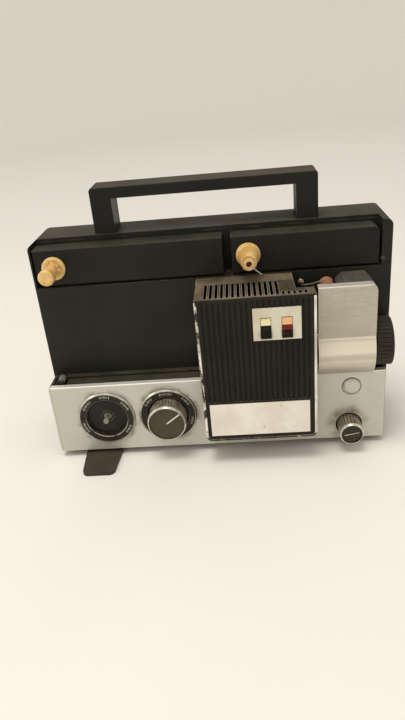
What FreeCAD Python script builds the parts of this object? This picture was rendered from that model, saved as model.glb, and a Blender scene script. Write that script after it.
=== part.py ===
import FreeCAD, Part
import math
import os
import re
import Sketcher
from FreeCAD import Rotation, Vector

# A compact projector for small film on reels. It stands on a table, the lens looks along +X,
# the operator stands in front at -Y, and the middle of its footprint on the table is the origin.
# Two arms carry the reels, the film runs down between lamp and lens and back along the deck.

DOC = FreeCAD.newDocument("movie_projector")

# Driving dimensions in millimetres and degrees: the name and the value.
SIZES = [
    # Case
    ("case_width", 284.3),
    ("case_height", 176.9),
    ("case_lift", 6.0),
    ("case_wall", 2.5),
    ("case_corner", 5.0),
    ("case_foot_corner", 3.0),
    ("case_rear_round", 3.5),
    ("rear_depth", 39.2),
    ("front_depth", 17.2),
    ("deck_depth", 26.8),
    ("wall_height", 140.5),
    ("strip_width", 7.7),
    ("left_strip", 1.5),
    ("recess_plate", 2.5),
    ("seam_gap", 0.2),
    ("boss_radius", 5.0),
    ("boss_side", 12.0),
    ("boss_low", 12.0),
    ("boss_drop", 16.9),
    ("screw_radius", 1.5),
    ("screw_head", 3.2),
    ("screw_head_height", 2.2),
    ("screw_sink", 5.0),
    ("screw_gap", 0.3),
    ("vent_slots", 11),
    ("vent_pitch", 7.0),
    ("vent_width", 3.0),
    ("vent_height", 46.0),
    ("vent_left", 128.0),
    ("vent_low", 62.0),
    # Silver control panel and the deck behind it
    ("panel_inset", 2.8),
    ("panel_width", 275.0),
    ("panel_height", 62.5),
    ("panel_thick", 1.6),
    ("panel_flange", 5.0),
    ("housing_inset", 1.5),
    ("housing_wall", 2.2),
    ("deck_drop", 1.2),
    ("deck_thick", 2.8),
    ("groove_front", 6.0),
    ("groove_width", 15.0),
    ("groove_deep", 1.6),
    # Underside
    ("plate_thick", 1.2),
    ("plate_margin", 7.0),
    ("rubber_radius", 7.0),
    ("rubber_top_radius", 8.0),
    ("rubber_side", 13.0),
    ("rubber_right", 9.3),
    ("rubber_front", 16.0),
    ("rubber_rear", 11.0),
    # Swing foot
    ("foot_side", 39.0),
    ("foot_pivot_back", 40.0),
    ("foot_reach", 30.3),
    ("foot_tip_width", 26.5),
    ("foot_root_width", 37.0),
    ("foot_thick", 3.0),
    ("foot_tip_round", 5.0),
    ("foot_hub_radius", 9.0),
    ("foot_gap", 0.3),
    ("rivet_radius", 3.0),
    ("rivet_head", 6.5),
    ("rivet_head_height", 1.2),
    ("rivet_lift", 0.3),
    # Carrying handle
    ("handle_from_left", 51.2),
    ("handle_width", 179.4),
    ("handle_post", 17.1),
    ("handle_bar", 9.0),
    ("handle_depth", 25.0),
    ("handle_rise", 36.1),
    ("handle_back", 3.3),
    ("handle_round", 3.0),
    ("handle_edge", 1.2),
    ("handle_tail", 31.0),
    ("handle_gap", 0.35),
    ("handle_lug", 2.2),
    ("handle_lug_height", 6.0),
    ("guide_wall", 1.6),
    ("guide_length", 23.5),
    # Reel arms
    ("arm_height", 29.6),
    ("arm_gap", 6.4),
    ("arm_under", 1.8),
    ("arm_clear", 0.6),
    ("arm_end_gap", 1.8),
    ("arm_left_inset", 2.8),
    ("supply_arm_length", 114.2),
    ("arm_wall", 2.0),
    ("arm_round", 1.2),
    ("supply_arm_corner", 5.0),
    ("take_up_arm_corner", 6.0),
    ("pivot_end", 8.0),
    ("pivot_down", 8.0),
    ("pivot_cap", 7.0),
    ("pivot_radius", 3.0),
    ("pivot_cover", 1.2),
    ("pivot_boss", 6.2),
    ("supply_spindle_in", 13.0),
    ("take_up_spindle_in", 15.8),
    ("running_gap", 0.08),
    ("flange_radius", 9.5),
    ("flange_thick", 2.6),
    ("flange_rim", 1.6),
    ("flange_gap", 0.5),
    ("spindle_reach", 25.6),
    ("spindle_tip_radius", 6.3),
    ("spindle_tip_length", 7.5),
    ("spindle_round", 1.0),
    ("spindle_slope", 3.0),
    ("spindle_neck_radius", 4.4),
    ("spindle_root_radius", 5.9),
    ("spindle_root_length", 6.5),
    ("spindle_dish_radius", 4.2),
    ("spindle_dish_deep", 1.8),
    ("supply_root_radius", 8.1),
    ("supply_shoulder_radius", 5.9),
    ("supply_tube_radius", 4.2),
    ("supply_tube_length", 3.2),
    ("spindle_bore", 2.3),
    ("spindle_bore_deep", 6.0),
    ("spindle_shaft", 2.5),
    ("spindle_keys", 3),
    ("spindle_key_width", 1.6),
    ("spindle_key_length", 3.9),
    ("spindle_key_rise", 0.9),
    ("reel_pulley", 9.0),
    ("arm_pulley", 4.6),
    ("belt_thick", 1.2),
    ("belt_groove", 0.6),
    ("belt_gap", 0.3),
    ("belt_width", 1.2),
    # Lamp house
    ("lamp_from_left", 131.2),
    ("lamp_width", 89.6),
    ("lamp_proud", 21.0),
    ("lamp_low", 16.5),
    ("lamp_drop", 0.8),
    ("lamp_wall", 2.0),
    ("lamp_corner", 5.0),
    ("lamp_edge", 0.8),
    ("lamp_step", 13.0),
    ("lamp_channel", 14.0),
    ("lamp_seam", 33.2),
    ("lamp_seam_gap", 0.4),
    ("lamp_panel_gap", 0.3),
    ("rib_pitch", 4.12),
    ("rib_groove", 1.9),
    ("rib_deep", 0.9),
    ("rib_first", 4.6),
    ("rib_end", 3.0),
    ("rib_low", 36.0),
    ("rib_top", 3.0),
    ("slot_count", 14),
    ("slot_width", 2.2),
    ("slot_first", 7.2),
    ("slot_front", 2.2),
    ("slot_end", 1.4),
    ("shelf_end", 4.0),
    ("trim_width", 1.9),
    ("trim_thick", 1.0),
    ("trim_proud", 0.2),
    ("trim_top", 1.6),
    ("tunnel_height", 4.5),
    ("switch_plate_side", 47.0),
    ("switch_plate_drop", 35.2),
    ("switch_plate_width", 35.8),
    ("switch_plate_height", 26.0),
    ("badge_thick", 0.9),
    ("rocker_width", 7.4),
    ("rocker_height", 16.6),
    ("rocker_in", 5.8),
    ("rocker_pitch", 15.8),
    ("rocker_lift", 1.4),
    ("rocker_gap", 0.35),
    ("rocker_proud", 2.1),
    ("rocker_dip", 0.2),
    ("rocker_middle", 0.5),
    ("rocker_axis", 2.5),
    ("rocker_well", 5.8),
    ("switch_block_depth", 14.0),
    ("switch_block_rim", 1.6),
    ("badge_left", 4.9),
    ("badge_low", 4.9),
    ("badge_right", 5.7),
    ("badge_height", 29.3),
    ("bracket_thick", 1.2),
    ("bracket_foot", 10.0),
    # Light path
    ("axis_front", 13.0),
    ("axis_high", 82.5),
    ("window_margin", 5.0),
    ("window_low", 26.0),
    ("window_drop", 26.5),
    ("reflector_radius", 15.0),
    ("reflector_deep", 16.0),
    ("reflector_wall", 1.5),
    ("reflector_waist", 12.0),
    ("reflector_curve", 6.4),
    ("reflector_neck", 7.0),
    ("reflector_stem", 7.0),
    ("lamp_front_in", 53.8),
    ("bulb_radius", 4.5),
    ("bulb_shoulder", 11.2),
    ("bulb_tip", 13.6),
    ("socket_side", 18.0),
    ("socket_length", 9.0),
    ("light_hole", 8.0),
    # Film gate and lens
    ("gate_gap", 2.6),
    ("gate_cover_width", 43.6),
    ("gate_cover_proud", 10.0),
    ("gate_cover_drop", 1.5),
    ("gate_cover_deep", 8.0),
    ("gate_cover_wall", 1.2),
    ("gate_cover_corner", 5.2),
    ("gate_cover_edge", 0.9),
    ("gate_cover_rest", 0.4),
    ("bulge_radius", 25.0),
    ("ledge_high", 96.5),
    ("aperture_thick", 1.4),
    ("film_width", 8.4),
    ("film_exit", 8.0),
    ("aperture_drop", 10.5),
    ("aperture_long", 5.7),
    ("aperture_tall", 4.2),
    ("film_gap", 0.5),
    ("pressure_thick", 1.2),
    ("pressure_width", 13.0),
    ("pressure_height", 41.0),
    ("pressure_tube", 13.4),
    ("pressure_tube_wall", 0.9),
    ("mount_from_gate", 17.0),
    ("mount_length", 28.0),
    ("mount_front", 1.7),
    ("mount_drop", 2.9),
    ("mount_low", 64.0),
    ("mount_chamfer", 5.0),
    ("barrel_radius", 12.4),
    ("barrel_wall", 2.0),
    ("barrel_length", 34.5),
    ("barrel_start", 3.5),
    ("barrel_lip", 1.4),
    ("glass_inset", 5.0),
    ("nose_radius", 15.0),
    ("nose_length", 7.5),
    ("ring_radius", 19.5),
    ("ring_length", 12.8),
    ("ring_gap", 0.9),
    ("ring_lip", 6.0),
    ("ring_rest", 0.3),
    ("ring_flutes", 36),
    ("ring_flute_deep", 0.8),
    ("ring_flute_width", 1.8),
    ("ring_rim", 1.6),
    ("ring_recess_gap", 1.0),
    ("ring_bay", 15.9),
    ("glass_thick", 4.0),
    ("glass_bulge", 1.6),
    ("glass_middle", 6.2),
    ("glass_slope", 0.6),
    ("glass_gap", 0.1),
    ("guide_roller_radius", 5.6),
    ("guide_roller_length", 14.0),
    ("guide_roller_back", 4.3),
    ("guide_roller_from_gate", 10.0),
    ("guide_roller_drop", 10.1),
    ("guide_pin", 1.5),
    ("guide_flange", 1.6),
    ("guide_waist", 1.0),
    # Controls on the panel
    ("dial_high", 31.3),
    ("speed_from_left", 46.8),
    ("function_from_left", 99.1),
    ("dial_radius", 24.4),
    ("dial_hole", 22.0),
    ("dial_face_radius", 22.9),
    ("dial_proud", 1.5),
    ("dial_well_radius", 17.2),
    ("dial_well_deep", 3.0),
    ("dial_floor", 1.4),
    ("dial_bevel", 0.8),
    ("rim_flat", 0.3),
    ("rim_shoulder", 0.6),
    ("dial_shaft_hole", 5.0),
    ("speed_shaft_radius", 2.0),
    ("speed_shaft_reach", 6.0),
    ("control_body_radius", 14.0),
    ("control_body_deep", 12.0),
    ("control_shaft_tail", 11.0),
    ("knob_radius", 16.0),
    ("knob_reach", 15.3),
    ("knob_base", 1.8),
    ("knob_rim", 1.5),
    ("knob_rim_width", 1.5),
    ("knob_flutes", 40),
    ("knob_flute_deep", 0.7),
    ("knob_flute_width", 1.6),
    ("knob_shaft", 3.0),
    ("cap_thick", 1.0),
    ("pointer_width", 1.0),
    ("pointer_thick", 0.4),
    ("pointer_angle", 37.0),
    ("framing_high", 13.0),
    ("framing_hole", 11.0),
    ("framing_knob_radius", 9.7),
    ("framing_knob_reach", 16.4),
    ("framing_flutes", 24),
    ("framing_shaft", 2.0),
    ("framing_tail", 6.0),
    ("end_play", 0.5),
    ("cup_wall", 1.2),
    ("cup_deep", 4.5),
    ("button_aside", 1.5),
    ("button_high", 49.2),
    ("button_hole", 8.4),
    ("sleeve_rim", 0.6),
    ("button_radius", 6.8),
    ("button_proud", 1.6),
    ("button_edge", 0.6),
    ("button_length", 9.0),
    ("button_travel", 3.0),
    ("button_flange", 0.9),
    # Deck roller
    ("roller_from_left", 10.3),
    ("roller_back", 10.0),
    ("roller_radius", 2.9),
    ("roller_length", 8.4),
    ("roller_pin", 1.0),
    ("roller_rise", 1.2),
    ("roller_pocket", 0.8),
    ("ear_gap", 0.6),
    ("ear_thick", 1.6),
    ("ear_width", 5.0),
    ("ear_rise", 2.0),
    ("catch_radius", 1.2),
    ("catch_rise", 3.0),
    ("catch_back", 2.0),
    # Drive
    ("chassis_thick", 1.5),
    ("chassis_margin", 9.0),
    ("chassis_left", 22.0),
    ("chassis_short", 2.0),
    ("chassis_right", 17.9),
    ("air_way", 34.0),
    ("motor_radius", 18.0),
    ("motor_length", 46.0),
    ("motor_to_shutter", 64.2),
    ("motor_high", 30.0),
    ("motor_back", 24.0),
    ("motor_shaft", 2.0),
    ("motor_nose", 3.0),
    ("saddle_length", 15.4),
    ("motor_pulley", 6.0),
    ("pulley_width", 5.0),
    ("shutter_pulley", 8.5),
    ("shutter_back", 9.6),
    ("shutter_radius", 30.4),
    ("shutter_thick", 0.9),
    ("shutter_hub", 5.0),
    ("shutter_blades", 3),
    ("notch_half", 18.0),
    ("shutter_from_gate", 4.6),
    ("shutter_slot", 4.0),
    ("shaft_radius", 2.5),
    ("shaft_length", 46.0),
    ("bearing_radius", 6.0),
    ("bearing_width", 5.0),
    ("blower_radius", 20.0),
    ("blower_width", 13.0),
    ("blower_blades", 12),
    ("blower_inner", 12.0),
    ("blower_disc", 1.2),
    ("blower_blade", 1.2),
    ("core_width", 50.0),
    ("core_height", 42.0),
    ("core_depth", 24.0),
    ("core_back", 11.0),
    ("core_window", 7.0),
    ("core_from_left", 22.0),
    ("core_limb", 9.0),
    ("winding_proud", 8.0),
    ("inlet_width", 24.0),
    ("inlet_height", 17.0),
    ("inlet_from_right", 22.3),
    ("inlet_high", 30.0),
    ("inlet_flange", 3.0),
    ("inlet_deep", 14.0),
    ("inlet_wall", 2.0),
    ("inlet_pin_radius", 1.2),
    ("inlet_pin_gap", 8.0),
]

# Places worked out from the driving dimensions, in the model's own frame.
PLACES = [
    ("case_left", "-case_width / 2"),
    ("case_right", "case_width / 2"),
    ("top_z", "case_lift + case_height"),
    ("shelf_z", "case_lift + wall_height"),
    ("boss_high", "case_height - boss_drop"),
    ("panel_y", "-(deck_depth + front_depth + rear_depth - foot_reach) / 2"),
    ("wall_y", "panel_y + deck_depth"),
    ("recess_y", "wall_y + front_depth"),
    ("rear_y", "recess_y + rear_depth"),
    ("panel_left", "case_left + panel_inset"),
    ("panel_right", "panel_left + panel_width"),
    ("panel_top", "case_lift + panel_height"),
    ("housing_left", "case_left + housing_inset"),
    ("housing_length", "panel_right - housing_left"),
    ("deck_z", "panel_top - deck_drop"),
    ("foot_x", "case_left + foot_side"),
    ("foot_y", "panel_y + foot_pivot_back"),
    ("foot_length", "foot_pivot_back + foot_reach"),
    ("plate_z", "case_lift - plate_thick"),
    ("handle_left", "case_left + handle_from_left"),
    ("handle_y", "recess_y + handle_back"),
    ("arm_z", "shelf_z + arm_under"),
    ("arm_depth", "front_depth - arm_clear"),
    ("supply_right", "case_right - strip_width - arm_end_gap"),
    ("supply_left", "supply_right - supply_arm_length"),
    ("take_up_left", "case_left + arm_left_inset"),
    ("take_up_right", "supply_left - arm_gap"),
    ("take_up_length", "take_up_right - take_up_left"),
    ("pivot_z", "min(arm_z + arm_height - pivot_down; top_z - pivot_cap)"),
    ("pivot_up", "pivot_z - arm_z"),
    ("spindle_z", "arm_z + arm_height / 2"),
    ("lamp_left", "case_left + lamp_from_left"),
    ("lamp_right", "lamp_left + lamp_width"),
    ("lamp_y", "panel_y - lamp_proud"),
    ("lamp_z", "case_lift + lamp_low"),
    ("lamp_height", "wall_height - lamp_drop - lamp_low"),
    ("switch_plate_left", "lamp_width - switch_plate_side"),
    ("switch_plate_low", "lamp_height - switch_plate_drop"),
    ("rocker_first", "switch_plate_left + rocker_in"),
    ("rocker_low", "switch_plate_low + rocker_lift"),
    ("badge_width", "lamp_width - badge_left - badge_right"),
    ("rib_count", "1 + floor((lamp_width - rib_first - rib_groove - rib_end) / rib_pitch)"),
    ("shelf_start", "slot_first + rib_pitch * slot_count"),
    ("shelf_slots", "1 + floor((lamp_width - shelf_start - slot_width - shelf_end) / rib_pitch)"),
    ("lamp_skirt", "panel_height + lamp_panel_gap - lamp_low"),
    ("lamp_deep", "lamp_proud + deck_depth"),
    ("deck_top", "deck_z - lamp_z"),
    ("house_floor", "deck_top + tunnel_height"),
    ("axis_y", "panel_y + axis_front"),
    ("axis_z", "case_lift + axis_high"),
    ("lamp_axis", "axis_z - lamp_z"),
    ("lamp_end", "lamp_left + lamp_front_in"),
    ("gate_left", "lamp_right + gate_gap"),
    ("film_x", "gate_left"),
    ("aperture_start", "panel_flange + screw_gap"),
    ("guide_x", "gate_left + guide_roller_from_gate"),
    ("guide_z", "shelf_z - guide_roller_drop"),
    ("gate_y", "panel_y - gate_cover_proud"),
    ("gate_low", "panel_height + gate_cover_rest"),
    ("gate_cover_high", "wall_height - gate_cover_drop"),
    ("mount_left", "gate_left + mount_from_gate"),
    ("mount_right", "mount_left + mount_length"),
    ("mount_rise", "shelf_z - mount_drop - axis_z"),
    ("ring_x", "mount_right + ring_gap"),
    ("ring_bay_x", "min(mount_right; case_right - ring_bay)"),
    ("barrel_inner", "barrel_radius - barrel_wall"),
    ("dial_z", "case_lift + dial_high"),
    ("speed_x", "case_left + speed_from_left"),
    ("function_x", "case_left + function_from_left"),
    ("framing_x", "(lamp_right + panel_right) / 2"),
    ("framing_z", "case_lift + framing_high"),
    ("button_x", "framing_x + button_aside"),
    ("button_z", "case_lift + button_high"),
    ("roller_x", "case_left + roller_from_left"),
    ("roller_z", "deck_z + roller_rise"),
    ("chassis_y", "wall_y + case_wall"),
    ("works_y", "chassis_y + chassis_thick"),
    ("chassis_end", "min(mount_right - case_left - chassis_short; case_width - chassis_right)"),
    ("motor_y", "works_y + motor_back"),
    ("motor_z", "case_lift + motor_high"),
    ("shutter_x", "lamp_right - shutter_from_gate"),
    ("motor_x", "shutter_x - motor_to_shutter"),
    ("shutter_y", "works_y + shutter_back"),
    ("pulley_x", "motor_x + motor_length + motor_nose"),
    ("inlet_x", "case_right - inlet_from_right"),
]


def fill_sheets():
    """Write both sheets and return which sheet holds each name."""
    owner = {}
    for title, rows in (("Sizes", SIZES), ("Places", PLACES)):
        sheet = DOC.addObject("Spreadsheet::Sheet", title)
        for row, (name, value) in enumerate(rows, 1):
            cell = f"A{row}"
            text = str(value)
            if title == "Places":
                text = "=" + qualified(text, owner)
            sheet.set(cell, text)
            sheet.setAlias(cell, name)
        owner.update((name, title) for name, value in rows)
    DOC.recompute()
    return owner


def qualified(text, owner):
    """Put the sheet's name before every name that a sheet holds."""
    def known(match):
        word = match.group(0)
        return f"{owner[word]}.{word}" if word in owner else word
    return re.sub(r"[a-z][a-z_]*", known, str(text))


OWNER = fill_sheets()


def value(name):
    """The number that a name stands for, for shapes that are worked out in this script."""
    return float(DOC.getObject(OWNER[name]).get(name))


def bind(piece, path, text):
    """Tie one property of a piece to the sheets."""
    piece.setExpression(path, qualified(text, OWNER))


# Which way the local Z axis of a turned piece points once it is placed.
TURNS = {
    "up": Rotation(),
    "front": Rotation(Vector(1, 0, 0), 90),
    "back": Rotation(Vector(1, 0, 0), -90),
    "right": Rotation(Vector(0, 1, 0), 90),
    "left": Rotation(Vector(0, 1, 0), -90),
    "down": Rotation(Vector(1, 0, 0), 180),
}
FULL_TURN = 360


def place(piece, spot, turn="up"):
    """Put a piece at a spot given by three expressions."""
    piece.Placement.Rotation = TURNS[turn]
    for axis, text in zip("xyz", spot):
        bind(piece, f"Placement.Base.{axis}", text)
    return piece


def body(label, spot, turn="up"):
    piece = DOC.addObject("PartDesign::Body", label)
    piece.Label = label
    return place(piece, spot, turn)


def origin_part(piece, role):
    return next(part for part in piece.Origin.OriginFeatures if part.Role == role)


def drawing(piece, plane, name, lift="0"):
    """A sketch on one of the body's own planes, lifted along the plane's normal."""
    sketch = piece.newObject("Sketcher::SketchObject", f"{piece.Label}_{name}")
    sketch.AttachmentSupport = [(origin_part(piece, plane), "")]
    sketch.MapMode = "FlatFace"
    bind(sketch, "AttachmentOffset.Base.z", lift)
    return sketch


def fix(sketch, kind, where, text):
    """Add one constraint and tie it to the sheets."""
    index = sketch.addConstraint(Sketcher.Constraint(kind, *where, 1.0))
    bind(sketch, f"Constraints[{index}]", text)


def polygon(sketch, points):
    """A closed outline whose corners are given by expressions."""
    count = len(points)
    first = sketch.GeometryCount
    ring = [math.tau * step / count for step in range(count + 1)]
    spots = [Vector(math.cos(angle), math.sin(angle), 0) for angle in ring]
    for start, end in zip(spots, spots[1:]):
        sketch.addGeometry(Part.LineSegment(start, end), False)
    for step in range(count):
        after = first + (step + 1) % count
        sketch.addConstraint(Sketcher.Constraint("Coincident", first + step, 2, after, 1))
    for step, (along, up) in enumerate(points):
        fix(sketch, "DistanceX", (first + step, 1), along)
        fix(sketch, "DistanceY", (first + step, 1), up)


def rectangle(sketch, left, low, right, high):
    polygon(sketch, [(left, low), (right, low), (right, high), (left, high)])


def circle(sketch, along, up, radius):
    index = sketch.addGeometry(Part.Circle(Vector(0, 0, 0), Vector(0, 0, 1), 1), False)
    fix(sketch, "DistanceX", (index, 3), along)
    fix(sketch, "DistanceY", (index, 3), up)
    fix(sketch, "Radius", (index,), radius)


def feature(piece, kind, name, sketch=None, **settings):
    """Add a feature to a body and make it the body's tip."""
    made = piece.newObject(f"PartDesign::{kind}", f"{piece.Label}_{name}")
    if sketch is not None:
        made.Profile = sketch
        sketch.Visibility = False
    for key, setting in settings.items():
        if isinstance(setting, str) and key in ("Length", "Radius", "Size", "Angle"):
            bind(made, key, setting)
        else:
            setattr(made, key, setting)
    piece.Tip = made
    return made


def pad(piece, name, sketch, length, backwards=False, middle=False):
    return feature(piece, "Pad", name, sketch, Length=length, Reversed=backwards, Midplane=middle)


def pocket(piece, name, sketch, length, backwards=False, middle=False):
    return feature(piece, "Pocket", name, sketch, Length=length, Reversed=backwards, Midplane=middle)


def block(piece, name, low, high, cut=False):
    """Add or cut a box between two corners of the body's own frame."""
    sketch = drawing(piece, "XY_Plane", name, low[2])
    rectangle(sketch, low[0], low[1], high[0], high[1])
    length = f"({high[2]}) - ({low[2]})"
    if cut:
        return pocket(piece, f"{name}_cut", sketch, length, backwards=True)
    return pad(piece, f"{name}_pad", sketch, length)


def row(piece, name, original, along, pitch, count):
    """Repeat a feature in a straight row along one axis of the body."""
    pattern = feature(piece, "LinearPattern", name, Originals=[original], Mode="Spacing")
    pattern.Direction = (origin_part(piece, f"{along}_Axis"), [""])
    bind(pattern, "Offset", pitch)
    bind(pattern, "Occurrences", count)
    return pattern


def ring(piece, name, originals, count):
    """Repeat features round the body's Z axis."""
    pattern = feature(piece, "PolarPattern", name, Originals=originals)
    pattern.Axis = (origin_part(piece, "Z_Axis"), [""])
    pattern.Angle = FULL_TURN
    bind(pattern, "Occurrences", count)
    return pattern


def soften(piece, name, radius, pick, kind="Fillet"):
    """Round or chamfer the edges of the body that pick chooses."""
    DOC.recompute()
    base = piece.Tip
    edges = [f"Edge{index}" for index, edge in enumerate(base.Shape.Edges, 1) if pick(edge)]
    size = "Radius" if kind == "Fillet" else "Size"
    return feature(piece, kind, name, Base=(base, edges), **{size: radius})


NEAR = 0.05


def runs_along(edge, axis):
    """True for a straight edge that runs along x, y or z."""
    ends = [vertex.Point for vertex in edge.Vertexes]
    if len(ends) != 2 or not isinstance(edge.Curve, Part.Line):
        return False
    return abs(abs(getattr(ends[1] - ends[0], axis)) - edge.Length) < NEAR


def lies_at(edge, **where):
    """True when the whole edge lies at the given x, y or z."""
    box = edge.BoundBox
    spans = {"x": (box.XMin, box.XMax), "y": (box.YMin, box.YMax), "z": (box.ZMin, box.ZMax)}
    return all(abs(end - level) < NEAR for axis, level in where.items() for end in spans[axis])


def turned(label, profile, spot, turn):
    """A piece turned on a lathe: the profile gives radius and height about the local Z axis."""
    piece = body(label, spot, turn)
    sketch = drawing(piece, "XZ_Plane", "profile")
    polygon(sketch, profile)
    made = feature(piece, "Revolution", "turning", sketch, Angle=FULL_TURN)
    made.ReferenceAxis = (origin_part(piece, "Z_Axis"), [""])
    return piece


def flutes(piece, radius, deep, width, low, high, count):
    """V grooves round a turned piece, from one height to another."""
    sketch = drawing(piece, "XY_Plane", "flute", low)
    polygon(sketch, [
        (f"{radius} - {deep}", "0"),
        (f"{radius} + {deep}", f"-{width}"),
        (f"{radius} + {deep}", width),
    ])
    groove = pocket(piece, "flute_cut", sketch, f"({high}) - ({low})", backwards=True)
    return ring(piece, "flutes", [groove], count)


def box(label, low, high):
    """A plain block between two corners, for pieces made by adding and cutting blocks."""
    piece = DOC.addObject("Part::Box", label)
    for side, start, end in zip(("Length", "Width", "Height"), low, high):
        bind(piece, side, f"({end}) - ({start})")
    return place(piece, low)


def rod(label, radius, length, spot, turn="up"):
    piece = DOC.addObject("Part::Cylinder", label)
    bind(piece, "Radius", radius)
    bind(piece, "Height", length)
    return place(piece, spot, turn)


def joined(label, *pieces):
    piece = DOC.addObject("Part::MultiFuse", label)
    piece.Shapes = list(pieces)
    return piece


def less(label, base, *tools):
    piece = DOC.addObject("Part::Cut", label)
    piece.Base = base
    piece.Tool = tools[0] if len(tools) == 1 else joined(f"{label}_tools", *tools)
    return piece


# The finished pieces of the projector, in the order in which they are made.
NODES = []


def node(piece, label=None):
    """Mark a finished piece as one of the projector's parts."""
    piece.Label = label or piece.Label
    NODES.append(piece)
    return piece


# Case


def make_rear_cover():
    """The black rear half: a rounded tray, open at the front, that holds the works."""
    piece = body("rear_cover", ("0", "recess_y", "case_lift"))
    outline = drawing(piece, "XZ_Plane", "outline")
    rectangle(outline, "-case_width / 2", "0", "case_width / 2", "case_height")
    pad(piece, "shell", outline, "rear_depth", backwards=True)
    high, deep = value("case_height"), value("rear_depth")
    hollow = drawing(piece, "XZ_Plane", "hollow")
    rectangle(hollow, "-(case_width / 2 - case_wall)", "case_wall",
              "case_width / 2 - case_wall", "case_height - case_wall")
    pocket(piece, "hollow_cut", hollow, "rear_depth - case_wall")
    inner_high = high - value("case_wall")
    soften(piece, "inner_corners", "case_corner - case_wall",
           lambda edge: runs_along(edge, "y") and lies_at(edge, z=inner_high))
    soften(piece, "top_corners", "case_corner",
           lambda edge: runs_along(edge, "y") and lies_at(edge, z=high))
    soften(piece, "foot_corners", "case_foot_corner",
           lambda edge: runs_along(edge, "y") and lies_at(edge, z=0))
    soften(piece, "rear_edge", "case_rear_round", lambda edge: lies_at(edge, y=deep))
    for name, left in handle_post_lefts():
        guide = drawing(piece, "XY_Plane", f"{name}_guide", "case_height - guide_length")
        rectangle(guide, f"{left} - handle_gap - guide_wall", "handle_back - handle_gap",
                  f"{left} + handle_post + handle_gap + guide_wall",
                  "handle_back + handle_depth + handle_gap + guide_wall")
        pad(piece, f"{name}_guide_pad", guide, "guide_length - case_wall / 2")
        slot = drawing(piece, "XY_Plane", f"{name}_slot", "case_height - guide_length - case_wall")
        rectangle(slot, f"{left} - handle_gap", "handle_back - handle_gap",
                  f"{left} + handle_post + handle_gap", "handle_back + handle_depth + handle_gap")
        pocket(piece, f"{name}_slot_cut", slot, "guide_length + 2 * case_wall", backwards=True)
    vent = drawing(piece, "XZ_Plane", "vent", "-(rear_depth - 2 * case_wall)")
    rectangle(vent, "case_left + vent_left", "vent_low",
              "case_left + vent_left + vent_width", "vent_low + vent_height")
    first = pocket(piece, "vent_cut", vent, "3 * case_wall")
    row(piece, "vents", first, "X", "vent_pitch", "vent_slots")
    inlet = drawing(piece, "XZ_Plane", "inlet", "-(rear_depth - 2 * case_wall)")
    rectangle(inlet, "inlet_x - inlet_width / 2", "inlet_high - inlet_height / 2",
              "inlet_x + inlet_width / 2", "inlet_high + inlet_height / 2")
    pocket(piece, "inlet_cut", inlet, "3 * case_wall")
    posts = drawing(piece, "XZ_Plane", "bosses", "-recess_plate")
    heads = drawing(piece, "XZ_Plane", "heads", "-(rear_depth - screw_sink)")
    holes = drawing(piece, "XZ_Plane", "holes", "-recess_plate")
    for along, up in boss_spots():
        circle(posts, along, up, "boss_radius")
        circle(heads, along, up, "screw_head + screw_gap")
        circle(holes, along, up, "screw_radius + screw_gap")
    pad(piece, "boss", posts, "rear_depth - recess_plate - case_wall", backwards=True)
    pocket(piece, "boss_hole", holes, "rear_depth")
    pocket(piece, "head_hole", heads, "screw_sink + case_wall")
    return node(piece)


def handle_post_lefts():
    """The left side of each handle post, in the case's own frame."""
    return [("left", "handle_left"), ("right", "handle_left + handle_width - handle_post")]


def boss_spots():
    """The four screws that hold the rear cover, in the case's own frame."""
    return [(side, up) for side in ("-(case_width / 2 - boss_side)", "case_width / 2 - boss_side")
            for up in ("boss_low", "boss_high")]


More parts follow.
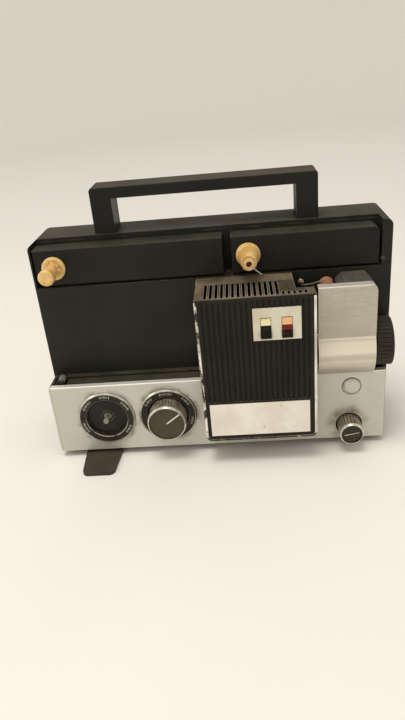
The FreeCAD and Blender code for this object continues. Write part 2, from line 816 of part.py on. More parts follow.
def make_front_case():
    """The black front half: the wall behind the reels and the recess that the arms fold into."""
    piece = body("front_case", ("0", "wall_y", "case_lift"))
    wall = drawing(piece, "XZ_Plane", "wall")
    rectangle(wall, "-case_width / 2", "0", "case_width / 2", "wall_height")
    pad(piece, "wall_pad", wall, "front_depth", backwards=True)
    soften(piece, "foot_corners", "case_foot_corner",
           lambda edge: runs_along(edge, "y") and lies_at(edge, z=0))
    hollow = drawing(piece, "XZ_Plane", "hollow", "-case_wall")
    rectangle(hollow, "-(case_width / 2 - case_wall)", "case_wall",
              "case_width / 2 - case_wall", "wall_height - case_wall")
    pocket(piece, "hollow_cut", hollow, "front_depth")
    half = "case_width / 2 - case_wall - seam_gap"
    plate = drawing(piece, "XZ_Plane", "plate", "-front_depth")
    rectangle(plate, f"-({half})", "wall_height - 2 * case_wall", half,
              "case_height - case_wall - seam_gap")
    pad(piece, "plate_pad", plate, "recess_plate", backwards=True)
    plate_top = value("case_height") - value("case_wall") - value("seam_gap")
    soften(piece, "plate_corners", "case_corner - case_wall - seam_gap",
           lambda edge: runs_along(edge, "y") and lies_at(edge, z=plate_top))
    strips = drawing(piece, "XZ_Plane", "strips")
    rectangle(strips, "-case_width / 2", "wall_height - case_wall",
              "-(case_width / 2 - left_strip - case_corner)", "case_height")
    rectangle(strips, "case_width / 2 - strip_width - case_corner", "wall_height - case_wall",
              "case_width / 2", "case_height")
    pad(piece, "strip_pad", strips, "front_depth", backwards=True)
    left, right, high = value("case_left"), value("case_right"), value("case_height")
    soften(piece, "strip_corners", "case_corner",
           lambda edge: runs_along(edge, "y") and lies_at(edge, z=high)
           and (lies_at(edge, x=left) or lies_at(edge, x=right)))
    recess = drawing(piece, "XZ_Plane", "recess")
    rectangle(recess, "-(case_width / 2 - left_strip)", "wall_height",
              "case_width / 2 - strip_width", "case_height + case_wall")
    pocket(piece, "recess_cut", recess, "front_depth")
    backing = drawing(piece, "YZ_Plane", "ring_backing", "ring_bay_x - ring_gap")
    polygon(backing, ring_backing())
    pad(piece, "ring_backing_pad", backing, "case_right - ring_bay_x + ring_gap")
    hollow_of_ring = drawing(piece, "YZ_Plane", "ring_hollow", "ring_bay_x")
    circle(hollow_of_ring, "axis_front - deck_depth", "axis_high", "ring_radius + ring_recess_gap")
    pocket(piece, "ring_hollow_cut", hollow_of_ring, "case_width", backwards=True)
    posts = drawing(piece, "XZ_Plane", "bosses", "-case_wall")
    for along, up in boss_spots():
        if up == "boss_low":
            circle(posts, along, up, "boss_radius")
    pad(piece, "boss", posts, "front_depth + recess_plate - case_wall", backwards=True)
    holes = drawing(piece, "XZ_Plane", "holes", "-(case_wall + screw_gap)")
    for along, up in boss_spots():
        circle(holes, along, up, "screw_radius + running_gap")
    pocket(piece, "hole_cut", holes, "rear_depth")
    window = drawing(piece, "XZ_Plane", "window", "case_wall")
    rectangle(window, "lamp_left + window_margin", "window_low",
              "lamp_right - lamp_channel - window_margin", "wall_height - window_drop")
    rectangle(window, "shutter_x - shutter_slot / 2", "axis_high - shutter_radius",
              "shutter_x + shutter_slot / 2", "axis_high + shutter_radius")
    pocket(piece, "window_cut", window, "3 * case_wall")
    catch = drawing(piece, "XY_Plane", "catch", "wall_height")
    circle(catch, "take_up_right + arm_gap / 2", "catch_back", "catch_radius")
    pad(piece, "catch_pad", catch, "catch_rise")
    pins = drawing(piece, "XZ_Plane", "pins", "-(front_depth - case_wall)")
    for along in ("supply_right - pivot_end", "take_up_right - pivot_end"):
        circle(pins, along, "pivot_z - case_lift", "pivot_radius")
    pocket(piece, "pin_holes", pins, "3 * case_wall")
    return node(piece)


def ring_backing():
    """The thick part of the wall that the focus ring's hollow is cut into."""
    reach = "ring_radius + ring_recess_gap"
    back = f"axis_front - deck_depth + {reach} + case_wall"
    return [
        ("case_wall / 2", f"axis_high - {reach}"),
        (back, f"axis_high - {reach} / 2"),
        (back, f"axis_high + {reach} / 2"),
        ("case_wall / 2", f"axis_high + {reach}"),
    ]


def make_lower_case():
    """The black housing behind the silver panel, with the film deck as its top."""
    piece = body("lower_case", ("housing_left", "panel_y", "case_lift"))
    top = "deck_z - case_lift"
    block(piece, "shell", ("0", "panel_thick", "0"), ("housing_length", "deck_depth", top))
    block(piece, "hollow", ("housing_wall", "0", "housing_wall"),
          ("housing_length - housing_wall", "deck_depth", f"{top} - deck_thick"), cut=True)
    block(piece, "flange_step", ("-housing_wall", "0", f"{top} - groove_deep / 2"),
          ("case_width", "panel_flange + seam_gap", top), cut=True)
    block(piece, "groove", ("housing_wall", "groove_front", f"{top} - groove_deep"),
          ("housing_length - housing_wall", "groove_front + groove_width", f"{top} + groove_deep"),
          cut=True)
    pocket_half = "roller_radius + roller_pocket"
    middle = "roller_x - housing_left"
    far = "roller_back + roller_length"
    block(piece, "roller_pocket", (f"{middle} - ({pocket_half})", "roller_back - roller_pocket",
                                   f"{top} - deck_thick - housing_wall"),
          (f"{middle} + {pocket_half}", f"{far} + roller_pocket", f"{top} + groove_deep"), cut=True)
    for name, start in (("front", "roller_back - ear_gap - ear_thick"),
                        ("rear", f"{far} + ear_gap")):
        block(piece, f"{name}_ear", (f"{middle} - ear_width / 2", start, f"{top} - deck_thick"),
              (f"{middle} + ear_width / 2", f"{start} + ear_thick",
               f"{top} + roller_rise + ear_rise"))
    hole = drawing(piece, "XZ_Plane", "pin_hole", "-(roller_back - ear_gap - 2 * ear_thick)")
    circle(hole, middle, f"{top} + roller_rise", "roller_pin + running_gap")
    pocket(piece, "pin_hole_cut", hole, "roller_length + 2 * ear_gap + 4 * ear_thick")
    slot = "shutter_x - housing_left"
    chord = "sqrt(shutter_radius ^ 2 - (axis_z - deck_z) ^ 2)"
    block(piece, "shutter_way", (f"{slot} - shutter_slot / 2",
                                 f"shutter_y - panel_y - {chord} - end_play",
                                 f"{top} - deck_thick - housing_wall"),
          (f"{slot} + shutter_slot / 2", "deck_depth + housing_wall", f"{top} + groove_deep"),
          cut=True)
    notch = "framing_x - housing_left"
    reach = "framing_hole + cup_wall + screw_gap"
    block(piece, "cup_notch", (f"{notch} - ({reach})", "0", "-housing_wall"),
          (f"{notch} + {reach}", "cup_deep + 2 * cup_wall", "2 * housing_wall"), cut=True)
    return node(piece)


def make_front_panel():
    """The brushed metal panel with its folded top edge and the holes for the controls."""
    piece = body("front_panel", ("panel_left", "panel_y", "case_lift"))
    sheet = drawing(piece, "XZ_Plane", "sheet")
    rectangle(sheet, "0", "0", "panel_width", "panel_height")
    pad(piece, "sheet_pad", sheet, "panel_thick", backwards=True)
    block(piece, "flange", ("0", "0", "panel_height - deck_drop"),
          ("panel_width", "panel_flange", "panel_height"))
    holes = drawing(piece, "XZ_Plane", "holes")
    for along, up, radius in panel_holes():
        circle(holes, f"{along} - panel_left", f"{up} - case_lift", radius)
    pocket(piece, "holes_cut", holes, "panel_thick")
    wide, high = value("panel_width"), value("panel_height")
    soften(piece, "side_edges", "panel_thick / 2",
           lambda edge: runs_along(edge, "z") and lies_at(edge, y=0)
           and (lies_at(edge, x=0) or lies_at(edge, x=wide)))
    soften(piece, "top_edge", "deck_drop / 2",
           lambda edge: runs_along(edge, "x") and lies_at(edge, y=0, z=high))
    return node(piece)


def panel_holes():
    return [
        ("speed_x", "dial_z", "dial_hole"),
        ("function_x", "dial_z", "dial_hole"),
        ("framing_x", "framing_z", "framing_hole"),
        ("button_x", "button_z", "button_hole"),
    ]


def make_base():
    """The steel plate under the case and the four rubber feet on it."""
    piece = body("base_plate", ("0", "panel_y", "plate_z"))
    block(piece, "sheet", ("case_left + plate_margin", "plate_margin", "0"),
          ("panel_right - plate_margin", "rear_y - panel_y - plate_margin", "plate_thick"))
    hole = drawing(piece, "XY_Plane", "rivet_hole")
    circle(hole, "foot_x", "foot_pivot_back", "rivet_radius")
    pocket(piece, "rivet_hole_cut", hole, "plate_thick", backwards=True)
    node(piece)
    feet = []
    for index, (along, back) in enumerate(rubber_spots(), 1):
        foot = DOC.addObject("Part::Cone", f"rubber_foot_{index}")
        bind(foot, "Radius1", "rubber_radius")
        bind(foot, "Radius2", "rubber_top_radius")
        bind(foot, "Height", "plate_z")
        feet.append(place(foot, (along, back, "0")))
    node(joined("rubber_feet", *feet))


def rubber_spots():
    return [(along, back)
            for along in ("case_left + rubber_side", "panel_right - rubber_right")
            for back in ("panel_y + rubber_front", "rear_y - rubber_rear")]


def make_swing_foot():
    """The tongue that swings out in front to steady the narrow case."""
    piece = body("swing_foot", ("foot_x", "foot_y", "0"))
    tongue = drawing(piece, "XY_Plane", "tongue")
    polygon(tongue, [
        ("-foot_root_width / 2", "0"),
        ("-foot_tip_width / 2", "-foot_length"),
        ("foot_tip_width / 2", "-foot_length"),
        ("foot_root_width / 2", "0"),
    ])
    pad(piece, "tongue_pad", tongue, "foot_thick")
    tip = -value("foot_length")
    soften(piece, "tip", "foot_tip_round",
           lambda edge: runs_along(edge, "z") and lies_at(edge, y=tip))
    root = drawing(piece, "XY_Plane", "root")
    circle(root, "0", "0", "foot_root_width / 2")
    pad(piece, "root_pad", root, "foot_thick")
    hub = drawing(piece, "XY_Plane", "hub")
    circle(hub, "0", "0", "foot_hub_radius")
    pad(piece, "hub_pad", hub, "plate_z - foot_gap")
    bore = drawing(piece, "XY_Plane", "bore")
    circle(bore, "0", "0", "rivet_radius + running_gap")
    pocket(piece, "bore_cut", bore, "case_lift", backwards=True)
    sink = drawing(piece, "XY_Plane", "sink")
    circle(sink, "0", "0", "rivet_head + foot_gap")
    pocket(piece, "sink_cut", sink, "rivet_lift + rivet_head_height + running_gap", backwards=True)
    node(piece)
    node(turned("foot_rivet", [
        ("0", "0"), ("rivet_head", "0"), ("rivet_head", "rivet_head_height"),
        ("rivet_radius", "rivet_head_height"), ("rivet_radius", "case_lift - rivet_lift"),
        ("0", "case_lift - rivet_lift"),
    ], ("foot_x", "foot_y", "rivet_lift"), "up"))


def make_handle():
    """The flat carrying handle, whose two posts slide down in guides inside the case."""
    piece = body("carry_handle", ("handle_left", "handle_y", "top_z"))
    outline = drawing(piece, "XZ_Plane", "outline")
    polygon(outline, [
        ("0", "-handle_tail"), ("handle_post", "-handle_tail"),
        ("handle_post", "handle_rise - handle_bar"),
        ("handle_width - handle_post", "handle_rise - handle_bar"),
        ("handle_width - handle_post", "-handle_tail"), ("handle_width", "-handle_tail"),
        ("handle_width", "handle_rise"), ("0", "handle_rise"),
    ])
    pad(piece, "strap", outline, "handle_depth", backwards=True)
    rise, deep = value("handle_rise"), value("handle_depth")
    soften(piece, "shoulders", "handle_round",
           lambda edge: runs_along(edge, "y") and lies_at(edge, z=rise))
    soften(piece, "edges", "handle_edge",
           lambda edge: (lies_at(edge, y=0) or lies_at(edge, y=deep))
           and edge.BoundBox.ZMax > rise - NEAR)
    for name, left in (("left", "0"), ("right", "handle_width - handle_post")):
        block(piece, f"{name}_lug", (f"{left} - handle_lug", "0", "-handle_tail"),
              (f"{left} + handle_post + handle_lug", "handle_depth",
               "handle_lug_height - handle_tail"))
    node(piece)


# Reel arms

# Where the pulleys inside the take-up arm begin, just behind its inner bosses.
ARM_PULLEY_Y = "wall_y + arm_wall / 2 + arm_wall + belt_thick + flange_gap"


def make_arm(label, left, length, corner, far_corner, spindle_in):
    """A hollow arm: its spindle is near the left end and its pivot near the right end."""
    piece = body(label, (left, "wall_y", "arm_z"))
    outline = drawing(piece, "XZ_Plane", "outline")
    rectangle(outline, "0", "0", length, "arm_height")
    pad(piece, "shell", outline, "arm_depth", backwards=True)
    long, high = value_of(length), value("arm_height")
    soften(piece, "pivot_corner", corner,
           lambda edge: runs_along(edge, "y") and lies_at(edge, x=long, z=high))
    soften(piece, "far_corner", far_corner,
           lambda edge: runs_along(edge, "y") and lies_at(edge, x=0, z=0))
    soften(piece, "front_edges", "arm_round", lambda edge: lies_at(edge, y=0))
    hollow = drawing(piece, "XZ_Plane", "hollow", "-arm_wall")
    rectangle(hollow, "arm_wall", "arm_wall", f"{length} - arm_wall", "arm_height - arm_wall")
    pocket(piece, "hollow_cut", hollow, "arm_depth")
    corner_fill(piece, "pivot_fill", corner, lambda gap: f"{length} - ({gap})",
                lambda gap: f"arm_height - ({gap})")
    corner_fill(piece, "far_fill", far_corner, lambda gap: gap, lambda gap: gap)
    bosses = drawing(piece, "XZ_Plane", "bosses", "-arm_wall / 2")
    circle(bosses, f"{length} - pivot_end", "pivot_up", "pivot_boss")
    pad(piece, "pivot_boss_pad", bosses, "arm_wall + belt_thick", backwards=True)
    journal = drawing(piece, "XZ_Plane", "journal", "-arm_wall / 2")
    circle(journal, spindle_in, "arm_height / 2", "spindle_shaft + arm_wall")
    pad(piece, "journal_pad", journal, "arm_wall + belt_thick", backwards=True)
    bore = drawing(piece, "XZ_Plane", "bore", "arm_wall")
    circle(bore, spindle_in, "arm_height / 2", "spindle_shaft + running_gap")
    pocket(piece, "bore_cut", bore, "arm_depth")
    pivot = drawing(piece, "XZ_Plane", "pivot", "-pivot_cover")
    circle(pivot, f"{length} - pivot_end", "pivot_up", "pivot_radius + running_gap")
    pocket(piece, "pivot_cut", pivot, "arm_depth")
    return node(piece)


def corner_fill(piece, name, corner, along, up):
    """Keeps the wall whole inside a rounded corner; along and up place a distance from it."""
    near, far = "arm_wall / 2", f"arm_wall / 2 + {corner}"
    fill = drawing(piece, "XZ_Plane", name, "-arm_wall / 2")
    polygon(fill, [
        (along(far), up(near)), (along(far), up("arm_wall")), (along("arm_wall"), up(far)),
        (along(near), up(far)), (along("arm_wall"), up("arm_wall")),
    ])
    return pad(piece, f"{name}_pad", fill, "arm_depth - arm_wall", backwards=True)


def value_of(text):
    return value(text) if text in OWNER else float(text)


def make_spindle(label, along, outline):
    """A reel spindle: a shaft, a flange with three keys, and the hub that the outline gives."""
    piece = turned(label, [
        ("0", "-(arm_depth - arm_wall)"), ("spindle_shaft", "-(arm_depth - arm_wall)"),
        ("spindle_shaft", "flange_gap"), ("flange_radius", "flange_gap"),
        ("flange_radius", "flange_gap + flange_rim"),
        ("flange_radius - flange_thick / 2", "flange_gap + flange_thick"), *outline,
    ], (along, "wall_y", "spindle_z"), "front")
    key = drawing(piece, "XY_Plane", "key", "flange_gap + flange_thick / 2")
    rectangle(key, "spindle_neck_radius / 2", "-spindle_key_width / 2",
              "spindle_root_radius + spindle_key_rise", "spindle_key_width / 2")
    rib = pad(piece, "key_pad", key, "flange_thick / 2 + spindle_key_length")
    ring(piece, "keys", [rib], "spindle_keys")
    return piece


def make_spindles():
    """The tapered supply spindle with its tube, and the waisted take-up spindle."""
    node(make_spindle("supply_spindle", "supply_left + supply_spindle_in", [
        ("supply_root_radius", "flange_gap + flange_thick"),
        ("supply_shoulder_radius", "spindle_reach - supply_tube_length"),
        ("supply_tube_radius", "spindle_reach - supply_tube_length"),
        ("supply_tube_radius", "spindle_reach"), ("spindle_bore", "spindle_reach"),
        ("spindle_bore", "spindle_reach - spindle_bore_deep"),
        ("0", "spindle_reach - spindle_bore_deep"),
    ]))
    axle = make_spindle("take_up_axle", "take_up_left + take_up_spindle_in", [
        ("spindle_root_radius", "flange_gap + flange_thick"),
        ("spindle_neck_radius", "flange_gap + flange_thick + spindle_root_length"),
        ("spindle_neck_radius", "spindle_reach - spindle_tip_length - spindle_slope"),
        ("spindle_tip_radius", "spindle_reach - spindle_tip_length"),
        ("spindle_tip_radius", "spindle_reach - spindle_round"),
        ("spindle_tip_radius - spindle_round", "spindle_reach"),
        ("spindle_dish_radius", "spindle_reach"), ("0", "spindle_reach - spindle_dish_deep"),
    ])
    wheel = make_pulley("take_up_pulley", "reel_pulley", "spindle_shaft / 2", "pulley_width",
                        ("take_up_left + take_up_spindle_in", ARM_PULLEY_Y, "spindle_z"), "back")
    node(joined("take_up_spindle", axle, wheel))


def make_pivot(label, right):
    """The pin that an arm swings on, fixed in the recess plate and blind in the arm's front."""
    return rod(label, "pivot_radius", "front_depth + recess_plate - pivot_cover - screw_gap",
               (f"{right} - pivot_end", "recess_y + recess_plate", "pivot_z"), "front")


def make_arms():
    make_arm("supply_arm", "supply_left", "supply_arm_length", "supply_arm_corner",
             "arm_round", "supply_spindle_in")
    make_arm("take_up_arm", "take_up_left", "take_up_length", "arm_round",
             "take_up_arm_corner", "take_up_spindle_in")
    make_spindles()
    node(joined("arm_pivots", make_pivot("supply_pivot", "supply_right"),
                make_pivot("take_up_pivot", "take_up_right")))


# Lamp house

# The left side of the lamp socket.
SOCKET_X = "lamp_end - reflector_deep - reflector_stem - socket_length"


def make_lamp_house_cover():
    """The ribbed and slotted cover in front of the lamp: its shape takes the most work here."""
    piece = body("lamp_house_cover", ("lamp_left", "lamp_y", "lamp_z"))
    block(piece, "front_box", ("0", "0", "0"), ("lamp_width", "lamp_step", "lamp_height"))
    block(piece, "lower_box", ("0", "lamp_step / 2", "0"),
          ("lamp_width", "lamp_proud - lamp_panel_gap", "lamp_skirt"))
    block(piece, "rear_box", ("0", "lamp_step / 2", "lamp_skirt"),
          ("lamp_width - lamp_channel", "lamp_seam", "lamp_height"))
    block(piece, "film_way", ("-lamp_wall", "lamp_proud - lamp_panel_gap", "0"),
          ("lamp_width", "lamp_seam + lamp_wall", "house_floor + bracket_thick + seam_gap"),
          cut=True)
    block(piece, "main_hollow", ("lamp_wall", "lamp_wall", "lamp_wall"),
          ("lamp_width - lamp_channel - lamp_wall", "lamp_seam + lamp_wall",
           "lamp_height - lamp_wall"), cut=True)
    block(piece, "shelf_hollow", ("lamp_width / 2", "lamp_wall", "lamp_wall"),
          ("lamp_width - lamp_wall", "lamp_step - lamp_wall", "lamp_height - lamp_wall"), cut=True)
    block(piece, "low_hollow", ("lamp_width / 2", "lamp_step / 2", "lamp_wall"),
          ("lamp_width - lamp_wall", "lamp_proud + lamp_wall", "lamp_skirt - lamp_wall"), cut=True)
    block(piece, "light_hole", ("lamp_width / 2", "lamp_proud + axis_front - light_hole",
                                "lamp_axis - light_hole"),
          ("lamp_width", "lamp_seam + lamp_wall", "lamp_axis + light_hole"), cut=True)
    corner = value("lamp_width")
    soften(piece, "low_corners", "lamp_corner",
           lambda edge: runs_along(edge, "y") and lies_at(edge, z=0)
           and (lies_at(edge, x=0) or lies_at(edge, x=corner)))
    high, deep = value("lamp_height"), value("lamp_seam")
    soften(piece, "top_edges", "lamp_edge",
           lambda edge: lies_at(edge, z=high) and edge.Length > value("lamp_step") - NEAR
           and (lies_at(edge, y=0) or lies_at(edge, x=0) or lies_at(edge, x=corner)))
    for name, spots in (("plate", plate_corners()), ("badge", badge_corners())):
        seat = drawing(piece, "XZ_Plane", f"{name}_seat", "lamp_wall")
        rectangle(seat, *spots)
        pocket(piece, f"{name}_seat_cut", seat, "lamp_wall + badge_thick")
    make_trim_seat(piece)
    make_ribs(piece)
    make_top_slots(piece)
    left, low, right, high_side = block_corners()
    back = drawing(piece, "XZ_Plane", "switch_hole")
    rectangle(back, f"{left} - handle_gap", f"{low} - handle_gap", f"{right} + handle_gap",
              f"{high_side} + handle_gap")
    pocket(piece, "switch_hole_cut", back, "lamp_wall + badge_thick")
    return node(piece)


def plate_corners():
    return ("switch_plate_left", "switch_plate_low", "switch_plate_left + switch_plate_width",
            "switch_plate_low + switch_plate_height")


def badge_corners():
    return "badge_left", "badge_low", "badge_left + badge_width", "badge_low + badge_height"


def block_corners():
    return ("rocker_first - switch_block_rim", "rocker_low - switch_block_rim",
            "rocker_first + rocker_pitch + rocker_width + switch_block_rim",
            "rocker_low + rocker_height + switch_block_rim")


def make_trim_seat(piece):
    """The rebate that the bright edge strip lies in."""
    seat = drawing(piece, "XZ_Plane", "trim_seat", "lamp_wall")
    polygon(seat, trim_corners("lamp_wall"))
    pocket(piece, "trim_seat_cut", seat, "lamp_wall + trim_thick")
    round_trim_corners(piece, "trim_seat_corners")


def round_trim_corners(piece, name):
    """Round the two inner corners where the bright strip turns."""
    near, far = value("trim_width"), value("lamp_width") - value("trim_width")
    soften(piece, name, "lamp_corner - trim_width",
           lambda edge: runs_along(edge, "y") and lies_at(edge, z=near)
           and (lies_at(edge, x=near) or lies_at(edge, x=far)))


def trim_corners(over):
    """The U-shaped outline of the bright strip, widened outwards by over."""
    top = "lamp_height - trim_top"
    return [
        (f"-({over})", f"-({over})"), (f"lamp_width + {over}", f"-({over})"),
        (f"lamp_width + {over}", top), ("lamp_width - trim_width", top),
        ("lamp_width - trim_width", "trim_width"), ("trim_width", "trim_width"),
        ("trim_width", top), (f"-({over})", top),
    ]


def make_ribs(piece):
    """Upright grooves all over the front, between the two plates and the bright strip."""
    groove = drawing(piece, "XZ_Plane", "groove", "lamp_wall")
    rectangle(groove, "rib_first", "rib_low", "rib_first + rib_groove", "lamp_height - rib_top")
    first = pocket(piece, "groove_cut", groove, "lamp_wall + rib_deep")
    row(piece, "ribs", first, "X", "rib_pitch", "rib_count")


def make_top_slots(piece):
    """Air slots in the top: long ones over the lamp and short ones in the front shelf."""
    slot = drawing(piece, "XY_Plane", "slot", "lamp_height - 2 * lamp_wall")
    rectangle(slot, "slot_first", "slot_front", "slot_first + slot_width", "lamp_seam - slot_end")
    first = pocket(piece, "slot_cut", slot, "3 * lamp_wall", backwards=True)
    row(piece, "slots", first, "X", "rib_pitch", "slot_count")
    short = drawing(piece, "XY_Plane", "short_slot", "lamp_height - 2 * lamp_wall")
    rectangle(short, "shelf_start", "slot_front", "shelf_start + slot_width",
              "lamp_step - 2 * slot_front")
    other = pocket(piece, "short_slot_cut", short, "3 * lamp_wall", backwards=True)
    row(piece, "short_slots", other, "X", "rib_pitch", "shelf_slots")


def make_lamp_trim():
    piece = body("lamp_trim", ("lamp_left", "lamp_y - trim_proud", "lamp_z"))
    outline = drawing(piece, "XZ_Plane", "outline")
    polygon(outline, trim_corners("0"))
    pad(piece, "strip", outline, "trim_thick + trim_proud", backwards=True)
    wide = value("lamp_width")
    soften(piece, "low_corners", "lamp_corner",
           lambda edge: runs_along(edge, "y") and lies_at(edge, z=0)
           and (lies_at(edge, x=0) or lies_at(edge, x=wide)))
    round_trim_corners(piece, "inner_corners")
    return node(piece)


def make_plates():
    """The pale switch plate and the bare pale label plate."""
    left, low, right, high = plate_corners()
    piece = body("switch_plate", ("lamp_left", "lamp_y", "lamp_z"))
    sheet = drawing(piece, "XZ_Plane", "sheet")
    rectangle(sheet, left, low, right, high)
    for start in ("rocker_first", "rocker_first + rocker_pitch"):
        rectangle(sheet, f"{start} - rocker_gap", "rocker_low - rocker_gap",
                  f"{start} + rocker_width + rocker_gap",
                  "rocker_low + rocker_height + rocker_gap")
    pad(piece, "sheet_pad", sheet, "badge_thick", backwards=True)
    node(piece)
    badge = body("label_plate", ("lamp_left", "lamp_y", "lamp_z"))
    sheet = drawing(badge, "XZ_Plane", "sheet")
    rectangle(sheet, *badge_corners())
    pad(badge, "sheet_pad", sheet, "badge_thick", backwards=True)
    node(badge)


def make_switches():
    """The switch housing behind its plate, and two rockers that tip about a level axis."""
    left, low, right, high = block_corners()
    piece = body("switch_block", ("lamp_left", "lamp_y", "lamp_z"))
    block(piece, "housing", (left, "badge_thick", low), (right, "switch_block_depth", high))
    for name, start in (("first", "rocker_first"), ("second", "rocker_first + rocker_pitch")):
        block(piece, f"{name}_well", (f"{start} - rocker_gap", "0", "rocker_low - rocker_gap"),
              (f"{start} + rocker_width + rocker_gap",
               "rocker_axis + rocker_well", "rocker_low + rocker_height + rocker_gap"),
              cut=True)
    node(piece)
    for label, start in (("lamp_rocker", "rocker_first"),
                         ("motor_rocker", "rocker_first + rocker_pitch")):
        half = "rocker_height / 2"
        rocker = body(label, (f"lamp_left + {start}", "lamp_y + rocker_axis",
                              f"lamp_z + rocker_low + {half}"))
        side = drawing(rocker, "YZ_Plane", "side")
        polygon(side, [
            ("-rocker_axis + rocker_dip", half), ("-rocker_axis - rocker_middle", "0"),
            ("-rocker_axis - rocker_proud", f"-{half}"), ("rocker_axis", f"-{half}"),
            ("rocker_axis", half),
        ])
        pad(rocker, "key", side, "rocker_width")
        ends = drawing(rocker, "YZ_Plane", "ends")
        rectangle(ends, "-2 * rocker_height", "-2 * rocker_height", "2 * rocker_height",
                  "2 * rocker_height")
        circle(ends, "0", "0", half)
        pocket(rocker, "ends_cut", ends, "rocker_width", backwards=True)
        node(rocker)


def make_lamp_house_frame():
    """The fixed rear part of the lamp house, with the floor that keeps the film from the heat."""
    piece = body("lamp_house_frame", ("lamp_left", "lamp_y", "lamp_z"))
    front = "lamp_seam + lamp_seam_gap"
    block(piece, "shell", ("0", front, "deck_top"),
          ("lamp_width - lamp_channel", "lamp_deep", "lamp_height"))
    block(piece, "hollow", ("lamp_wall", "lamp_seam", "house_floor"),
          ("lamp_width - lamp_channel - lamp_wall", "lamp_deep + lamp_wall",
           "lamp_height - lamp_wall"), cut=True)
    block(piece, "film_way", ("-lamp_wall", "lamp_seam", "deck_top - lamp_wall"),
          ("lamp_width", "lamp_proud + groove_front + groove_width", "house_floor"), cut=True)
    block(piece, "floor", ("0", "lamp_proud - lamp_panel_gap", "house_floor"),
          ("lamp_width - lamp_channel", "lamp_deep", "house_floor + bracket_thick"))
    block(piece, "light_hole", ("lamp_width / 2", "lamp_seam", "lamp_axis - light_hole"),
          ("lamp_width", "lamp_proud + axis_front + light_hole", "lamp_axis + light_hole"),
          cut=True)
    return node(piece)


def make_lamp():
    """A small projection lamp with its own mirror, and the socket behind it."""
    node(turned("lamp_mirror", [
        ("0", "0"), ("reflector_neck", "0"), ("reflector_neck", "reflector_stem"),
        ("reflector_waist", "reflector_stem + reflector_curve"),
        ("reflector_radius", "reflector_stem + reflector_deep"),
        ("reflector_radius - reflector_wall", "reflector_stem + reflector_deep"),
        ("reflector_waist - reflector_wall",
         "reflector_stem + reflector_curve + reflector_wall"),
        ("reflector_neck - reflector_wall", "reflector_stem + reflector_wall"),
        ("bulb_radius / 2", "reflector_stem + reflector_wall"),
        ("bulb_radius", "reflector_stem + reflector_curve"),
        ("bulb_radius", "reflector_stem + bulb_shoulder"),
        ("0", "reflector_stem + bulb_tip"),
    ], ("lamp_end - reflector_deep - reflector_stem", "axis_y", "axis_z"), "right"))
    half = "socket_side / 2"
    socket = body("lamp_socket", (SOCKET_X, "axis_y", "axis_z"))
    block(socket, "ceramic", ("0", f"-({half})", f"-({half})"),
          ("socket_length", half, half))
    node(socket)


# Film gate and lens


def make_gate_cover():
    """The brushed cover in front of the film gate, bulged round the lens axis."""
    piece = body("gate_cover", ("gate_left", "gate_y", "case_lift"))
    centre = "gate_cover_proud + axis_front"
    skin = drawing(piece, "YZ_Plane", "bulge")
    circle(skin, centre, "axis_high", "bulge_radius")
    pad(piece, "bulge_pad", skin, "gate_cover_width")
    window = drawing(piece, "YZ_Plane", "window", "-gate_cover_deep")
    rectangle(window, "-3 * bulge_radius", "-3 * bulge_radius", "9 * bulge_radius",
              "9 * bulge_radius")
    rectangle(window, "-bulge_radius", "gate_low", "gate_cover_deep", "ledge_high")
    pocket(piece, "window_cut", window, "case_width", backwards=True)
    block(piece, "upper", ("0", "0", "ledge_high"),
          ("gate_cover_width", "gate_cover_deep", "gate_cover_high"))
    wide, high = value("gate_cover_width"), value("gate_cover_high")
    soften(piece, "corner", "gate_cover_corner",
           lambda edge: runs_along(edge, "y") and lies_at(edge, x=wide, z=high))
    soften(piece, "edges", "gate_cover_edge",
           lambda edge: lies_at(edge, y=0) and not lies_at(edge, x=0)
           and edge.BoundBox.ZMax > value("ledge_high") + NEAR)
    block(piece, "upper_hollow", ("-gate_cover_wall", "gate_cover_wall",
                                  "ledge_high + gate_cover_wall"),
          ("gate_cover_width - gate_cover_wall", "2 * gate_cover_deep",
           "gate_cover_high - gate_cover_wall"), cut=True)
    corner = drawing(piece, "XZ_Plane", "corner_fill", "-gate_cover_wall / 2")
    inset = "gate_cover_width - gate_cover_wall"
    polygon(corner, [
        (f"{inset} - gate_cover_corner", "gate_cover_high - gate_cover_wall"),
        (f"{inset}", "gate_cover_high - gate_cover_wall - gate_cover_corner"),
        (f"{inset} + gate_cover_wall / 2",
         "gate_cover_high - gate_cover_wall - gate_cover_corner"),
        (f"{inset} - gate_cover_corner", "gate_cover_high - gate_cover_wall / 2"),
    ])
    pad(piece, "corner_fill_pad", corner, "gate_cover_deep - gate_cover_wall / 2", backwards=True)
    inner = drawing(piece, "YZ_Plane", "inner")
    circle(inner, centre, "axis_high", "bulge_radius - gate_cover_wall")
    pocket(piece, "inner_cut", inner, "gate_cover_width - gate_cover_wall", backwards=True)
    web = drawing(piece, "YZ_Plane", "web")
    polygon(web, [("gate_cover_edge", "ledge_high"), ("gate_cover_deep", "ledge_high"),
                  ("gate_cover_deep", "ledge_high + gate_cover_wall"),
                  ("gate_cover_edge", "ledge_high + gate_cover_wall")])
    pad(piece, "web_pad", web, "gate_cover_width")
    return node(piece)


